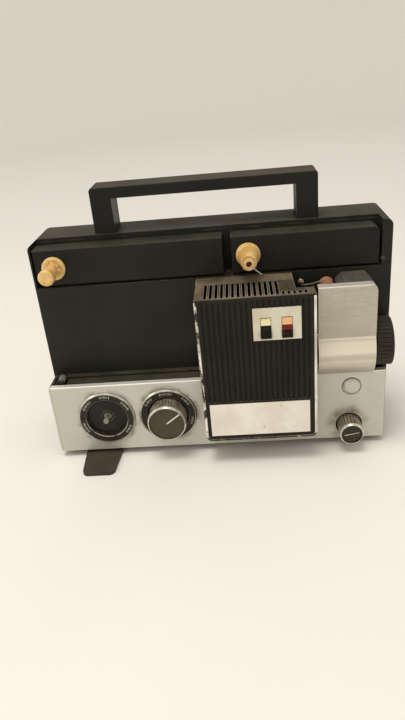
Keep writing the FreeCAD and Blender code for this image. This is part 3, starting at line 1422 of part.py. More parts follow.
def make_gate():
    """The plates that hold the film flat: one fixed, one pressed by the lens mount's tube."""
    piece = body("aperture_plate", ("film_x - aperture_thick", "panel_y", "deck_z"))
    top = "shelf_z - aperture_drop - deck_z"
    block(piece, "sheet", ("0", "aperture_start", "0"), ("aperture_thick", "deck_depth", top))
    block(piece, "way_out", ("-aperture_thick", "axis_front - film_width / 2", "-aperture_thick"),
          ("2 * aperture_thick", "axis_front + film_width / 2", "film_exit"), cut=True)
    light = "axis_z - deck_z"
    block(piece, "aperture", ("-aperture_thick", "axis_front - aperture_long / 2",
                              f"{light} - aperture_tall / 2"),
          ("2 * aperture_thick", "axis_front + aperture_long / 2", f"{light} + aperture_tall / 2"),
          cut=True)
    node(piece)
    pressure = body("pressure_plate", ("film_x + film_gap", "axis_y", "axis_z"), "right")
    tall, wide = "pressure_height / 2", "pressure_width / 2"
    block(pressure, "sheet", (f"-{tall}", f"-{wide}", "0"), (tall, wide, "pressure_thick"))
    tube = drawing(pressure, "XY_Plane", "tube")
    circle(tube, "0", "0", "pressure_tube")
    pad(pressure, "tube_pad", tube, "mount_left - film_x - film_gap")
    for name, radius, start in (("light_way", "film_width / 2", "-pressure_thick"),
                                ("tube_hollow", "pressure_tube - pressure_tube_wall",
                                 "pressure_thick")):
        way = drawing(pressure, "XY_Plane", name, start)
        circle(way, "0", "0", radius)
        pocket(pressure, f"{name}_cut", way, "case_width", backwards=True)
    node(pressure)


def make_lens_mount():
    """The cast block on the wall that carries the lens and the ring's neck."""
    piece = body("lens_mount", ("mount_left", "axis_y", "axis_z"), "right")
    # Turned right, local X points down and local Z points along the lens axis.
    low = "axis_z - case_lift - mount_low"
    block(piece, "casting", ("-mount_rise", "-(axis_front + mount_front)", "0"),
          (low, "deck_depth - axis_front", "mount_length"))
    top = -value("mount_rise")
    soften(piece, "shoulders", "mount_chamfer",
           lambda edge: lies_at(edge, x=top) and runs_along(edge, "y"), kind="Chamfer")
    neck = drawing(piece, "XY_Plane", "neck", "mount_length")
    circle(neck, "0", "0", "nose_radius")
    pad(piece, "neck_pad", neck, "nose_length")
    bore = drawing(piece, "XY_Plane", "bore", "-mount_length")
    circle(bore, "0", "0", "barrel_radius + running_gap")
    pocket(piece, "bore_cut", bore, "case_width", backwards=True)
    return node(piece)


def make_lens():
    """The lens: a tube that slides in the mount, two glasses, and the ring that moves it."""
    lip = "barrel_inner - barrel_lip"
    node(turned("lens_barrel", [
        ("barrel_inner", "0"), ("barrel_radius", "0"), ("barrel_radius", "barrel_length"),
        ("barrel_inner", "barrel_length"), ("barrel_inner", "barrel_length - glass_inset"),
        (lip, "barrel_length - glass_inset"),
        (lip, "glass_inset"), ("barrel_inner", "glass_inset"),
    ], ("mount_left + barrel_start", "axis_y", "axis_z"), "right"))
    glasses = []
    for label, spot, turn in (
            ("rear_glass", "mount_left + barrel_start + glass_inset", "left"),
            ("front_glass", "mount_left + barrel_start + barrel_length - glass_inset", "right")):
        glasses.append(turned(label, [
            ("0", "0"), ("barrel_inner - glass_gap", "0"),
            ("barrel_inner - glass_gap", "glass_thick - glass_bulge"),
            ("glass_middle", "glass_thick - glass_slope"),
            ("0", "glass_thick"),
        ], (spot, "axis_y", "axis_z"), turn))
    node(joined("lens_glasses", *glasses))
    ring_part = turned("focus_ring", [
        ("nose_radius + running_gap", "0"), ("ring_radius", "0"), ("ring_radius", "ring_length"),
        ("ring_radius - ring_lip", "ring_length"),
        ("ring_radius - ring_lip", "nose_length - ring_gap + ring_rest"),
        ("nose_radius + running_gap", "nose_length - ring_gap + ring_rest"),
    ], ("ring_x", "axis_y", "axis_z"), "right")
    flutes(ring_part, "ring_radius", "ring_flute_deep", "ring_flute_width / 2",
           "ring_rim", "ring_length - ring_rim", "ring_flutes")
    node(ring_part)


def make_film_guides():
    """The roller over the gate, its pin, and the small roller at the end of the deck."""
    node(turned("guide_roller", [
        ("guide_pin + running_gap", "0"), ("guide_roller_radius", "0"),
        ("guide_roller_radius", "guide_flange"),
        ("guide_roller_radius - guide_waist", "guide_flange + guide_waist"),
        ("guide_roller_radius - guide_waist", "guide_roller_length - guide_flange - guide_waist"),
        ("guide_roller_radius", "guide_roller_length - guide_flange"),
        ("guide_roller_radius", "guide_roller_length"),
        ("guide_pin + running_gap", "guide_roller_length"),
    ], ("guide_x", "wall_y - guide_roller_back", "guide_z"), "front"))
    guide_pin = rod("guide_roller_pin", "guide_pin", "guide_roller_back + guide_roller_length",
                    ("guide_x", "wall_y", "guide_z"), "front")
    node(turned("deck_roller", [
        ("roller_pin + running_gap", "0"), ("roller_radius", "0"),
        ("roller_radius", "roller_length"), ("roller_pin + running_gap", "roller_length"),
    ], ("roller_x", "panel_y + roller_back", "roller_z"), "back"))
    deck_pin = rod("deck_roller_pin", "roller_pin", "roller_length + 2 * (ear_gap + ear_thick)",
                   ("roller_x", "panel_y + roller_back - ear_gap - ear_thick", "roller_z"), "back")
    node(joined("roller_pins", guide_pin, deck_pin))


# Controls on the panel


def make_dials():
    """Two recessed black dials, the bright rings round them and the controls behind them."""
    back = "-(dial_well_deep + dial_floor)"
    shapes = {
        "dials": [
            ("dial_shaft_hole", back), ("dial_hole - screw_gap", back),
            ("dial_hole - screw_gap", "0"), ("dial_face_radius", "0"),
            ("dial_face_radius", "dial_proud"),
            ("dial_well_radius + dial_bevel", "dial_proud"),
            ("dial_well_radius", "dial_proud - dial_bevel"),
            ("dial_well_radius", "-dial_well_deep"), ("dial_shaft_hole", "-dial_well_deep"),
        ],
        "dial_rims": [
            ("dial_face_radius + seam_gap", "0"), ("dial_radius", "0"),
            ("dial_radius", "rim_shoulder"),
            ("dial_face_radius + seam_gap + rim_flat", "dial_proud"),
            ("dial_face_radius + seam_gap", "dial_proud"),
        ],
        "dial_controls": [
            ("0", f"{back} - control_body_deep"),
            ("control_body_radius", f"{back} - control_body_deep"),
            ("control_body_radius", back), ("knob_shaft + running_gap", back),
            ("knob_shaft + running_gap", f"{back} - control_shaft_tail"),
            ("0", f"{back} - control_shaft_tail"),
        ],
    }
    for label, profile in shapes.items():
        pair = [turned(f"{name}_{label}", profile, (f"{name}_x", "panel_y", "dial_z"), "front")
                for name in ("speed", "function")]
        node(joined(label, *pair))


def make_knobs():
    """The main knob, the bare shaft whose knob is missing, and the small framing knob."""
    tail = "-(dial_well_deep + dial_floor + control_shaft_tail - end_play)"
    node(turned("speed_shaft", [
        ("0", tail), ("knob_shaft", tail), ("knob_shaft", "-dial_well_deep"),
        ("speed_shaft_radius", "-dial_well_deep"), ("speed_shaft_radius", "speed_shaft_reach"),
        ("0", "speed_shaft_reach"),
    ], ("speed_x", "panel_y", "dial_z"), "front"))
    knob = turned("function_knob", [
        ("0", tail), ("knob_shaft", tail), ("knob_shaft", "knob_base - dial_well_deep"),
        ("knob_radius", "knob_base - dial_well_deep"), ("knob_radius", "knob_reach - knob_rim"),
        ("knob_radius - knob_rim / 2", "knob_reach"),
        ("knob_radius - knob_rim_width", "knob_reach"),
        ("knob_radius - knob_rim_width", "knob_reach - cap_thick"),
        ("0", "knob_reach - cap_thick"),
    ], ("function_x", "panel_y", "dial_z"), "front")
    flutes(knob, "knob_radius", "knob_flute_deep", "knob_flute_width / 2",
           "knob_base", "knob_reach - 2 * knob_rim", "knob_flutes")
    node(knob)
    pointer = box("function_pointer", ("0", "-pointer_width / 2", "0"),
                  ("knob_radius - knob_rim_width - 2 * seam_gap", "pointer_width / 2",
                   "pointer_thick"))
    pointer.Placement.Rotation = (TURNS["front"]
                                  * Rotation(Vector(0, 0, 1), value("pointer_angle")))
    bind(pointer, "Placement.Base.x",
         "function_x + pointer_width / 2 * sin(pointer_angle)")
    bind(pointer, "Placement.Base.y", "panel_y - knob_reach + cap_thick")
    bind(pointer, "Placement.Base.z",
         "dial_z - pointer_width / 2 * cos(pointer_angle)")
    node(pointer)
    small = turned("framing_knob", [
        ("0", "-(cup_deep + cup_wall + framing_tail)"),
        ("framing_shaft", "-(cup_deep + cup_wall + framing_tail)"),
        ("framing_shaft", "knob_base - cup_deep"),
        ("framing_knob_radius", "knob_base - cup_deep"),
        ("framing_knob_radius", "framing_knob_reach - knob_rim"),
        ("framing_knob_radius - knob_rim / 2", "framing_knob_reach"),
        ("framing_knob_radius - knob_rim_width", "framing_knob_reach"),
        ("framing_knob_radius - knob_rim_width", "framing_knob_reach - cap_thick"),
        ("0", "framing_knob_reach - cap_thick"),
    ], ("framing_x", "panel_y", "framing_z"), "front")
    flutes(small, "framing_knob_radius", "knob_flute_deep", "knob_flute_width / 2",
           "knob_base", "framing_knob_reach - 2 * knob_rim", "framing_flutes")
    node(small)
    make_cup("framing_cup", "framing_x", "framing_z", "framing_hole", "framing_shaft", "cup_deep")


def make_cup(label, along, up, hole, shaft, deep):
    """A black cup seated in the panel behind a knob or a button."""
    return node(turned(label, [
        (f"{shaft} + running_gap", f"-({deep} + cup_wall)"),
        (f"{hole} + cup_wall", f"-({deep} + cup_wall)"),
        (f"{hole} + cup_wall", "-panel_thick"),
        (f"{hole} - seam_gap", "-panel_thick"),
        (f"{hole} - seam_gap", f"-{deep}"),
        (f"{shaft} + running_gap", f"-{deep}"),
    ], (along, "panel_y", up), "front"))


def make_button():
    """The push button and the sleeve that guides it."""
    stop = "button_length - button_proud"
    node(turned("push_button", [
        ("0", f"-({stop})"), ("button_radius + button_flange", f"-({stop})"),
        ("button_radius + button_flange", f"-({stop}) + button_flange"),
        ("button_radius", f"-({stop}) + button_flange"),
        ("button_radius", "button_edge"),
        ("button_radius - button_proud", "button_proud"), ("0", "button_proud"),
    ], ("button_x", "panel_y", "button_z"), "front"))
    deep = f"{stop} + button_travel + end_play"
    node(turned("button_sleeve", [
        ("0", f"-({deep} + cup_wall)"), ("button_hole + sleeve_rim", f"-({deep} + cup_wall)"),
        ("button_hole + sleeve_rim", "-panel_thick"), ("button_hole - seam_gap", "-panel_thick"),
        ("button_hole - seam_gap", "-seam_gap"), ("button_radius + running_gap", "-seam_gap"),
        ("button_radius + running_gap", f"-({stop}) + button_flange + running_gap"),
        ("button_radius + button_flange + running_gap",
         f"-({stop}) + button_flange + running_gap"),
        ("button_radius + button_flange + running_gap", f"-({deep})"), ("0", f"-({deep})"),
    ], ("button_x", "panel_y", "button_z"), "front"))


# Drive and works


def make_chassis():
    """The steel plate behind the wall that carries the motor and the shutter."""
    piece = body("chassis_plate", ("case_left", "chassis_y", "case_lift"))
    sheet = drawing(piece, "XZ_Plane", "sheet")
    rectangle(sheet, "chassis_left", "chassis_margin", "chassis_end",
              "wall_height - chassis_margin")
    slot = "shutter_x - case_left"
    reach = "shutter_radius + slot_end"
    rectangle(sheet, f"{slot} - shutter_slot / 2", f"axis_high - ({reach})",
              f"{slot} + shutter_slot / 2", f"axis_high + {reach}")
    way = "lamp_left - case_left + window_margin"
    rectangle(sheet, way, "window_low", f"{way} + air_way", "window_low + air_way")
    pad(piece, "sheet_pad", sheet, "chassis_thick", backwards=True)
    node(joined("chassis", piece, make_lamp_bracket(), make_motor_saddle()))


def make_lamp_bracket():
    """The bent sheet that holds the lamp socket in front of the chassis plate."""
    bracket = body("lamp_bracket", (f"{SOCKET_X} - bracket_thick", "chassis_y", "axis_z"))
    half = "socket_side / 2"
    depth = "chassis_y - axis_y"
    block(bracket, "upright", ("0", f"-({depth}) - {half}", f"-({half})"),
          ("bracket_thick", "0", half))
    block(bracket, "foot", ("-bracket_foot", "-bracket_thick", f"-({half})"),
          ("bracket_thick", "0", half))
    return bracket


def make_motor_saddle():
    """The saddle behind the chassis plate that the motor lies in."""
    start = "motor_x + (motor_length - saddle_length) / 2"
    saddle = body("motor_saddle", (start, "works_y", "motor_z"))
    tall = "motor_radius + bracket_thick + seam_gap"
    block(saddle, "saddle", ("0", "0", f"-({tall})"), ("saddle_length", "motor_back", tall))
    seat = drawing(saddle, "YZ_Plane", "seat", "-motor_nose")
    circle(seat, "motor_back", "0", "motor_radius + seam_gap")
    pocket(saddle, "seat_cut", seat, "motor_length", backwards=True)
    return saddle


def make_motor():
    """The motor can, and the shaft, pulley and fan wheel that turn in it."""
    can = turned("motor_can", [
        ("motor_shaft + running_gap", "0"), ("motor_radius - motor_nose", "0"),
        ("motor_radius", "motor_nose"), ("motor_radius", "motor_length - motor_nose"),
        ("motor_radius - motor_nose", "motor_length"),
        ("motor_shaft + running_gap", "motor_length"),
    ], ("motor_x", "motor_y", "motor_z"), "right")
    node(can)
    reach = "motor_nose + pulley_width"
    shaft = rod("motor_axle", "motor_shaft",
                f"motor_length + {reach} + motor_nose + blower_width",
                ("motor_x - motor_nose - blower_width", "motor_y", "motor_z"), "right")
    pulley = make_pulley("motor_pulley", "motor_pulley", "motor_shaft / 2", "pulley_width",
                         ("pulley_x", "motor_y", "motor_z"))
    node(joined("motor_shaft", shaft, pulley))
    make_fan()


def make_pulley(label, radius, bore, width, spot, turn="right"):
    """A small pulley whose groove for a thin belt takes the middle three fifths."""
    return turned(label, [
        (bore, "0"), (radius, "0"), (radius, f"{width} / 5"),
        (f"{radius} - belt_groove", f"2 * {width} / 5"),
        (f"{radius} - belt_groove", f"3 * {width} / 5"), (radius, f"4 * {width} / 5"),
        (radius, width), (bore, width),
    ], spot, turn)


def make_fan():
    """The fan wheel that cools the lamp: a disc, a hub and a ring of blades."""
    wheel = turned("fan_wheel", [
        ("motor_shaft", "0"), ("blower_radius", "0"), ("blower_radius", "blower_disc"),
        ("shutter_hub", "blower_disc"), ("shutter_hub", "blower_width - motor_nose"),
        ("motor_shaft", "blower_width - motor_nose"),
    ], ("motor_x - motor_nose - blower_width", "motor_y", "motor_z"), "right")
    blade = drawing(wheel, "XY_Plane", "blade", "blower_disc / 2")
    rectangle(blade, "blower_inner", "-blower_blade / 2", "blower_radius - blower_blade",
              "blower_blade / 2")
    first = pad(wheel, "blade_pad", blade, "blower_width - blower_disc / 2")
    ring(wheel, "blades", [first], "blower_blades")
    node(wheel)


def make_shutter():
    """The shutter disc on its shaft, the driven pulley and the two bearings."""
    disc = turned("shutter_disc", [
        ("shaft_radius", "-shutter_hub / 2"), ("shutter_hub", "-shutter_hub / 2"),
        ("shutter_hub", "-shutter_thick / 2"), ("shutter_radius", "-shutter_thick / 2"),
        ("shutter_radius", "shutter_thick / 2"), ("shutter_hub", "shutter_thick / 2"),
        ("shutter_hub", "shutter_hub / 2"), ("shaft_radius", "shutter_hub / 2"),
    ], ("shutter_x", "shutter_y", "axis_z"), "right")
    notch = drawing(disc, "XY_Plane", "notch", "-shutter_hub")
    polygon(notch, [
        ("2 * shutter_hub", "-shutter_hub"), ("shutter_radius + shutter_hub", "-notch_half"),
        ("shutter_radius + shutter_hub", "notch_half"), ("2 * shutter_hub", "shutter_hub"),
    ])
    first = pocket(disc, "notch_cut", notch, "2 * shutter_hub", backwards=True)
    ring(disc, "notches", [first], "shutter_blades")
    node(disc)
    shaft = rod("shutter_axle", "shaft_radius", "shaft_length",
                ("pulley_x - bearing_width - end_play - bearing_width", "shutter_y", "axis_z"),
                "right")
    pulley = make_pulley("shutter_pulley", "shutter_pulley", "shaft_radius / 2", "pulley_width",
                         ("pulley_x", "shutter_y", "axis_z"))
    node(joined("shutter_shaft", shaft, pulley))
    left = "pulley_x - bearing_width - end_play"
    right = "pulley_x - 2 * bearing_width - end_play + shaft_length - bearing_width"
    supports = []
    for name, start in (("left", left), ("right", right)):
        block_part = box(f"{name}_bearing", (start, "works_y", "axis_z - bearing_radius"),
                         (f"{start} + bearing_width", "shutter_y + bearing_radius",
                          "axis_z + bearing_radius"))
        hole = rod(f"{name}_bearing_hole", "shaft_radius + running_gap", "3 * bearing_width",
                   (f"{start} - bearing_width", "shutter_y", "axis_z"), "right")
        supports.append(less(f"{name}_bearing_block", block_part, hole))
    node(joined("shutter_bearings", *supports))


def make_belt(label, plane, spot, across, up, first, second):
    """A belt round two pulleys in one plane, drawn just clear of their grooves."""
    piece = body(label, spot)
    span = f"sqrt(({across}) ^ 2 + ({up}) ^ 2)"
    lean = f"atan2({up}; {across})"
    spread = f"acos(({first} - {second}) / {span})"
    inwards = plane == "XZ_Plane"
    for name, extra in (("outer", "belt_gap + belt_thick - belt_groove"),
                        ("inner", "belt_gap - belt_groove")):
        ends = [("0", "0", f"({first} + {extra})"), (across, up, f"({second} + {extra})")]
        sides = []
        for (along, high, radius), signs in zip(ends, ("+-", "-+")):
            for sign in signs:
                angle = f"({lean} {sign} {spread})"
                sides.append((f"{along} + {radius} * cos{angle}",
                              f"{high} + {radius} * sin{angle}"))
        for index, (along, high, radius) in enumerate(ends):
            loop = drawing(piece, plane, f"{name}_loop_{index}")
            circle(loop, along, high, radius)
            add_or_cut(piece, f"{name}_end_{index}", loop, name == "outer", inwards)
        straight = drawing(piece, plane, f"{name}_straight")
        polygon(straight, sides)
        add_or_cut(piece, f"{name}_run", straight, name == "outer", inwards)
    return node(piece)


def add_or_cut(piece, name, sketch, adding, inwards):
    if adding:
        return pad(piece, name, sketch, "belt_width", backwards=inwards)
    return pocket(piece, name, sketch, "belt_width", backwards=not inwards)


def make_belts():
    """The belt to the shutter, and the pulleys and belt inside the take-up arm."""
    middle = "(pulley_width - belt_width) / 2"
    make_belt("drive_belt", "YZ_Plane", (f"pulley_x + {middle}", "motor_y", "motor_z"),
              "shutter_y - motor_y", "axis_z - motor_z", "motor_pulley", "shutter_pulley")
    start = ARM_PULLEY_Y
    spindle_x = "take_up_left + take_up_spindle_in"
    node(make_pulley("arm_pulley", "arm_pulley", "pivot_radius + running_gap", "pulley_width",
                     ("take_up_right - pivot_end", start, "pivot_z"), "back"))
    make_belt("take_up_belt", "XZ_Plane", (spindle_x, f"{start} + {middle}", "spindle_z"),
              f"take_up_right - pivot_end - ({spindle_x})", "pivot_z - spindle_z",
              "reel_pulley", "arm_pulley")


def make_transformer():
    """A laminated core with its winding, standing on the floor of the case."""
    core = body("transformer_core", ("case_left + core_from_left", "works_y + core_back",
                                     "case_lift + case_wall"))
    block(core, "stack", ("0", "0", "0"), ("core_width", "core_depth", "core_height"))
    for name, start in (("left", "core_limb"),
                        ("right", "core_width - core_limb - core_window")):
        block(core, f"{name}_window", (start, "-core_limb", "core_limb"),
              (f"{start} + core_window", "core_depth + core_limb", "core_height - core_limb"),
              cut=True)
    node(core)
    winding = body("transformer_winding", ("case_left + core_from_left", "works_y + core_back",
                                           "case_lift + case_wall"))
    low, high = "core_limb + screw_gap", "core_height - core_limb - screw_gap"
    block(winding, "coil", ("core_limb + screw_gap", "-winding_proud", low),
          ("core_width - core_limb - screw_gap", "core_depth + winding_proud", high))
    block(winding, "limb_way", ("core_limb + core_window - screw_gap", "-screw_gap", "0"),
          ("core_width - core_limb - core_window + screw_gap", "core_depth + screw_gap",
           "core_height"), cut=True)
    node(winding)


def make_inlet():
    """The mains inlet, flush in the rear wall; the lead itself is not part of the model."""
    piece = body("power_inlet", ("inlet_x", "rear_y", "case_lift + inlet_high"))
    wide, tall = "inlet_width / 2 - screw_gap", "inlet_height / 2 - screw_gap"
    block(piece, "cup", (f"-({wide})", "-inlet_deep", f"-({tall})"), (wide, "0", tall))
    block(piece, "flange", ("-inlet_width / 2 - inlet_flange", "-case_wall - inlet_wall",
                            "-inlet_height / 2 - inlet_flange"),
          ("inlet_width / 2 + inlet_flange", "-case_wall", "inlet_height / 2 + inlet_flange"))
    block(piece, "opening", (f"-({wide}) + inlet_wall", "-inlet_deep + inlet_wall",
                             f"-({tall}) + inlet_wall"),
          (f"{wide} - inlet_wall", "inlet_wall", f"{tall} - inlet_wall"), cut=True)
    pins = drawing(piece, "XZ_Plane", "pins", "inlet_deep - inlet_wall / 2")
    for side in ("-inlet_pin_gap / 2", "inlet_pin_gap / 2"):
        circle(pins, side, "0", "inlet_pin_radius")
    pad(piece, "pins_pad", pins, "inlet_deep - 2 * inlet_wall", backwards=True)
    node(piece)


def make_screws():
    """The four screws that hold the rear cover to the front case."""
    solids = []
    for index, (along, up) in enumerate(boss_spots(), 1):
        height = f"case_lift + {up}"
        solids.append(rod(f"screw_head_{index}", "screw_head", "screw_head_height",
                          (along, "rear_y - screw_sink", height), "back"))
        solids.append(rod(f"screw_shank_{index}", "screw_radius",
                          "rear_depth - screw_sink - 2 * screw_gap",
                          (along, "rear_y - screw_sink", height), "front"))
    node(joined("case_screws", *solids))


def build_all():
    make_rear_cover()
    make_front_case()
    make_lower_case()
    make_front_panel()
    make_base()
    make_swing_foot()
    make_handle()
    make_arms()
    make_lamp_house_cover()
    make_lamp_trim()
    make_plates()
    make_switches()
    make_lamp_house_frame()
    make_lamp()
    make_gate_cover()
    make_gate()
    make_lens_mount()
    make_lens()
    make_film_guides()
    make_dials()
    make_knobs()
    make_button()
    make_chassis()
    make_motor()
    make_shutter()
    make_belts()
    make_transformer()
    make_inlet()
    make_screws()


def check_and_write():
    """Stop on any failed object, then write one file for each part."""
    DOC.recompute()
    bad = [f"{part.Name} {part.State}" for part in DOC.Objects
           if {"Invalid", "Error"} & set(part.State)]
    bad += [f"{part.Label} has no valid shape" for part in NODES
            if part.Shape.isNull() or not part.Shape.isValid() or not part.Shape.Solids]
    if bad:
        raise SystemExit("\n".join(bad))
    os.makedirs("parts", exist_ok=True)
    for part in NODES:
        part.Shape.exportStep(f"parts/{part.Label}.step")
        print(part.Label, len(part.Shape.Solids), round(part.Shape.Volume))


build_all()
check_and_write()
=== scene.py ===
# %% [markdown]
# # Dressing a small film projector
#
# The projector comes as a imported frame: every solid is already in its place, in metres.
# This lesson gives each solid its finish and adds the small things that a frame leaves out,
# such as the marks on the dials, a wire spring and a screw.
# The frame is loaded first and never moved.

# %% Load the frame
import math

import bmesh
import bpy
from mathutils import Matrix, Vector


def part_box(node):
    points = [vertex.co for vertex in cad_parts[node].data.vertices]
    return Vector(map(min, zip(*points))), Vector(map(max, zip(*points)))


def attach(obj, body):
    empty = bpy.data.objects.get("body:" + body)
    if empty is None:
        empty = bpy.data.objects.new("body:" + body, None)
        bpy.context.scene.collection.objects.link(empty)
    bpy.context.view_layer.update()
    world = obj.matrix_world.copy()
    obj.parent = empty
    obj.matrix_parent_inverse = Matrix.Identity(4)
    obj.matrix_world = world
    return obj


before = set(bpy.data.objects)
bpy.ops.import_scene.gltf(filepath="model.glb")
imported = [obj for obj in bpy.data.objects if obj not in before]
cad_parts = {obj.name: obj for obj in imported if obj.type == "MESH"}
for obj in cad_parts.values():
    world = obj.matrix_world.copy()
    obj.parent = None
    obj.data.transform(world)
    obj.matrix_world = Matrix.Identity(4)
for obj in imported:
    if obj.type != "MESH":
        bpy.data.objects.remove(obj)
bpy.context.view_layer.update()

MM = 0.001
print("solids in the frame:", len(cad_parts))

# %% [markdown]
# ## The camera
#
# The photograph was taken from close by, looking down at the projector, with the camera held
# upright and a little tilted. The place, the three angles and the focal length were worked out
# from points that could be recognised on the object, so they are plain numbers here.
# A camera looks along its own minus Z, with its own Y up, so the three directions
# of the view become the columns of its turn.


# %% Camera
def linked(name, data):
    """A new object for a mesh, a camera or a light, linked to the scene."""
    item = bpy.data.objects.new(name, data)
    bpy.context.scene.collection.objects.link(item)
    return item


CAMERA_SPOT = Vector((27.36, -470.60, 310.02)) * MM
YAW, PITCH, ROLL = (math.radians(angle) for angle in (4.794, 26.611, -5.570))
FOCAL_PIXELS = 621.58
FRAME_HIGH = 720
SENSOR_HIGH = 36.0
NEAREST_SEEN = 10 * MM

ahead = Vector((-math.sin(YAW) * math.cos(PITCH), math.cos(YAW) * math.cos(PITCH),
                -math.sin(PITCH)))
level_right = Vector((math.cos(YAW), math.sin(YAW), 0.0))
level_up = level_right.cross(ahead)
right = level_right * math.cos(ROLL) + level_up * math.sin(ROLL)
up = level_up * math.cos(ROLL) - level_right * math.sin(ROLL)

camera = linked("camera", bpy.data.cameras.new("camera"))
camera.data.sensor_fit = "VERTICAL"
camera.data.sensor_height = SENSOR_HIGH
camera.data.lens = FOCAL_PIXELS * SENSOR_HIGH / FRAME_HIGH
camera.data.clip_start = NEAREST_SEEN
camera.matrix_world = (Matrix.Translation(CAMERA_SPOT)
                       @ Matrix((right, up, -ahead)).transposed().to_4x4())
bpy.context.scene.camera = camera
print("lens in mm:", round(camera.data.lens, 2))

# %% [markdown]
# ## Helpers for node trees
#
# Materials are built from the same few steps again and again: add a node, give its sockets a
# value or a link, mix two colours by a mask. A handful of short functions does this, so that
# each material below reads like a recipe. Colours are written as they look on a screen and
# turned into the linear values that the renderer works with.


# %% Node helpers
def tone(code):
    """The linear colour of a screen colour such as #b8b3a5."""
    parts = [int(code[at:at + 2], 16) / 255 for at in (1, 3, 5)]
    linear = [p / 12.92 if p <= 0.04045 else ((p + 0.055) / 1.055) ** 2.4 for p in parts]
    return (*linear, 1.0)


def make(tree, kind, sockets=None, **settings):
    """Adds a node. Each named socket gets a plain value, or a link from another socket."""
    item = tree.nodes.new(kind)
    for name, setting in settings.items():
        setattr(item, name, setting)
    for name, source in (sockets or {}).items():
        feed(tree, item.inputs[name], source)
    return item


def feed(tree, target, source):
    """Links a socket, or sets its value."""
    if isinstance(source, bpy.types.NodeSocket):
        tree.links.new(source, target)
    else:
        target.default_value = source


def calc(tree, operation, *values):
    """One step of arithmetic; gives its output socket."""
    return make(tree, "ShaderNodeMath", dict(enumerate(values)), operation=operation).outputs[0]


def span(tree, value, low, high, bottom=0.0, top=1.0):
    """Maps low..high softly to bottom..top and stops at both ends."""
    return make(tree, "ShaderNodeMapRange",
                {"Value": value, "From Min": low, "From Max": high,
                 "To Min": bottom, "To Max": top},
                interpolation_type="SMOOTHSTEP").outputs["Result"]


def blend(tree, mask, first, second):
    """The first colour where the mask is 0, the second where it is 1."""
    item = make(tree, "ShaderNodeMix", data_type="RGBA")
    feed(tree, item.inputs[0], mask)
    feed(tree, item.inputs[6], first)
    feed(tree, item.inputs[7], second)
    return item.outputs[2]


def noise(tree, vector, scale, detail=3.0, rough=0.55):
    """Cloudy values round 0.5; a larger scale gives smaller clouds."""
    return make(tree, "ShaderNodeTexNoise",
                {"Vector": vector, "Scale": scale, "Detail": detail, "Roughness": rough}
                ).outputs["Fac"]


def patches(tree, vector, scale, low, high, bottom=0.0, top=1.0, detail=3.0, rough=0.55):
    """A mask of soft patches: a noise, cut between a low and a high value."""
    return span(tree, noise(tree, vector, scale, detail, rough), low, high, bottom, top)


def stretched(tree, vector, factors):
    """The same coordinates, squeezed by a factor along each axis."""
    return make(tree, "ShaderNodeVectorMath", {0: vector, 1: factors},
                operation="MULTIPLY").outputs[0]


print("helpers ready")

# %% [markdown]
# ## Effects that several finishes share
#
# Dust settles on what faces up, dirt gathers in corners, and edges get rubbed. On the real
# projector all three can be seen on nearly every piece. Each is made once as a node group
# with named inputs, and every material places it with its own values. A group only puts out
# masks and heights; the shader itself stays in the material.


# %% Start of a node group
def new_group(name, inputs, outputs):
    """An empty shader group; gives the tree, its inputs and a function that sets an output."""
    tree = bpy.data.node_groups.new(name, "ShaderNodeTree")
    for title, kind in inputs:
        tree.interface.new_socket(title, in_out="INPUT", socket_type=kind)
    for title, kind in outputs:
        tree.interface.new_socket(title, in_out="OUTPUT", socket_type=kind)
    entry = tree.nodes.new("NodeGroupInput")
    leave = tree.nodes.new("NodeGroupOutput")
    return tree, entry.outputs, lambda title, source: tree.links.new(source, leave.inputs[title])


FLOAT, VECTOR = "NodeSocketFloat", "NodeSocketVector"

# %% Dust on faces that look up
dust_group, into, put = new_group(
    "dust", [("Vector", VECTOR), ("Normal", VECTOR), ("Amount", FLOAT)], [("Mask", FLOAT)])
upward = make(dust_group, "ShaderNodeSeparateXYZ", {0: into["Normal"]}).outputs["Z"]
flat = span(dust_group, upward, 0.35, 0.95)
cloud = patches(dust_group, into["Vector"], 45.0, 0.3, 0.68, bottom=0.35, detail=5.0,
                rough=0.62)
film = calc(dust_group, "MULTIPLY", flat, cloud)
speck = patches(dust_group, into["Vector"], 900.0, 0.62, 0.72, top=0.35, detail=2.0)
loose = calc(dust_group, "MULTIPLY", speck, span(dust_group, upward, -0.2, 0.9, 0.12, 1.0))
put("Mask", calc(dust_group, "MULTIPLY", calc(dust_group, "MAXIMUM", film, loose),
                 into["Amount"]))
print("dust group:", len(dust_group.nodes), "nodes")

# %% Dirt in corners
dirt_group, into, put = new_group(
    "corner dirt", [("Vector", VECTOR), ("Reach", FLOAT), ("Amount", FLOAT)], [("Mask", FLOAT)])
open_sky = make(dirt_group, "ShaderNodeAmbientOcclusion", {"Distance": into["Reach"]},
                samples=6).outputs["AO"]
closed = span(dirt_group, open_sky, 0.45, 0.95, 1.0, 0.0)
patchy = patches(dirt_group, into["Vector"], 160.0, 0.3, 0.62, bottom=0.3, detail=4.0)
put("Mask", calc(dirt_group, "MULTIPLY", calc(dirt_group, "MULTIPLY", closed, patchy),
                 into["Amount"]))
print("dirt group:", len(dirt_group.nodes), "nodes")

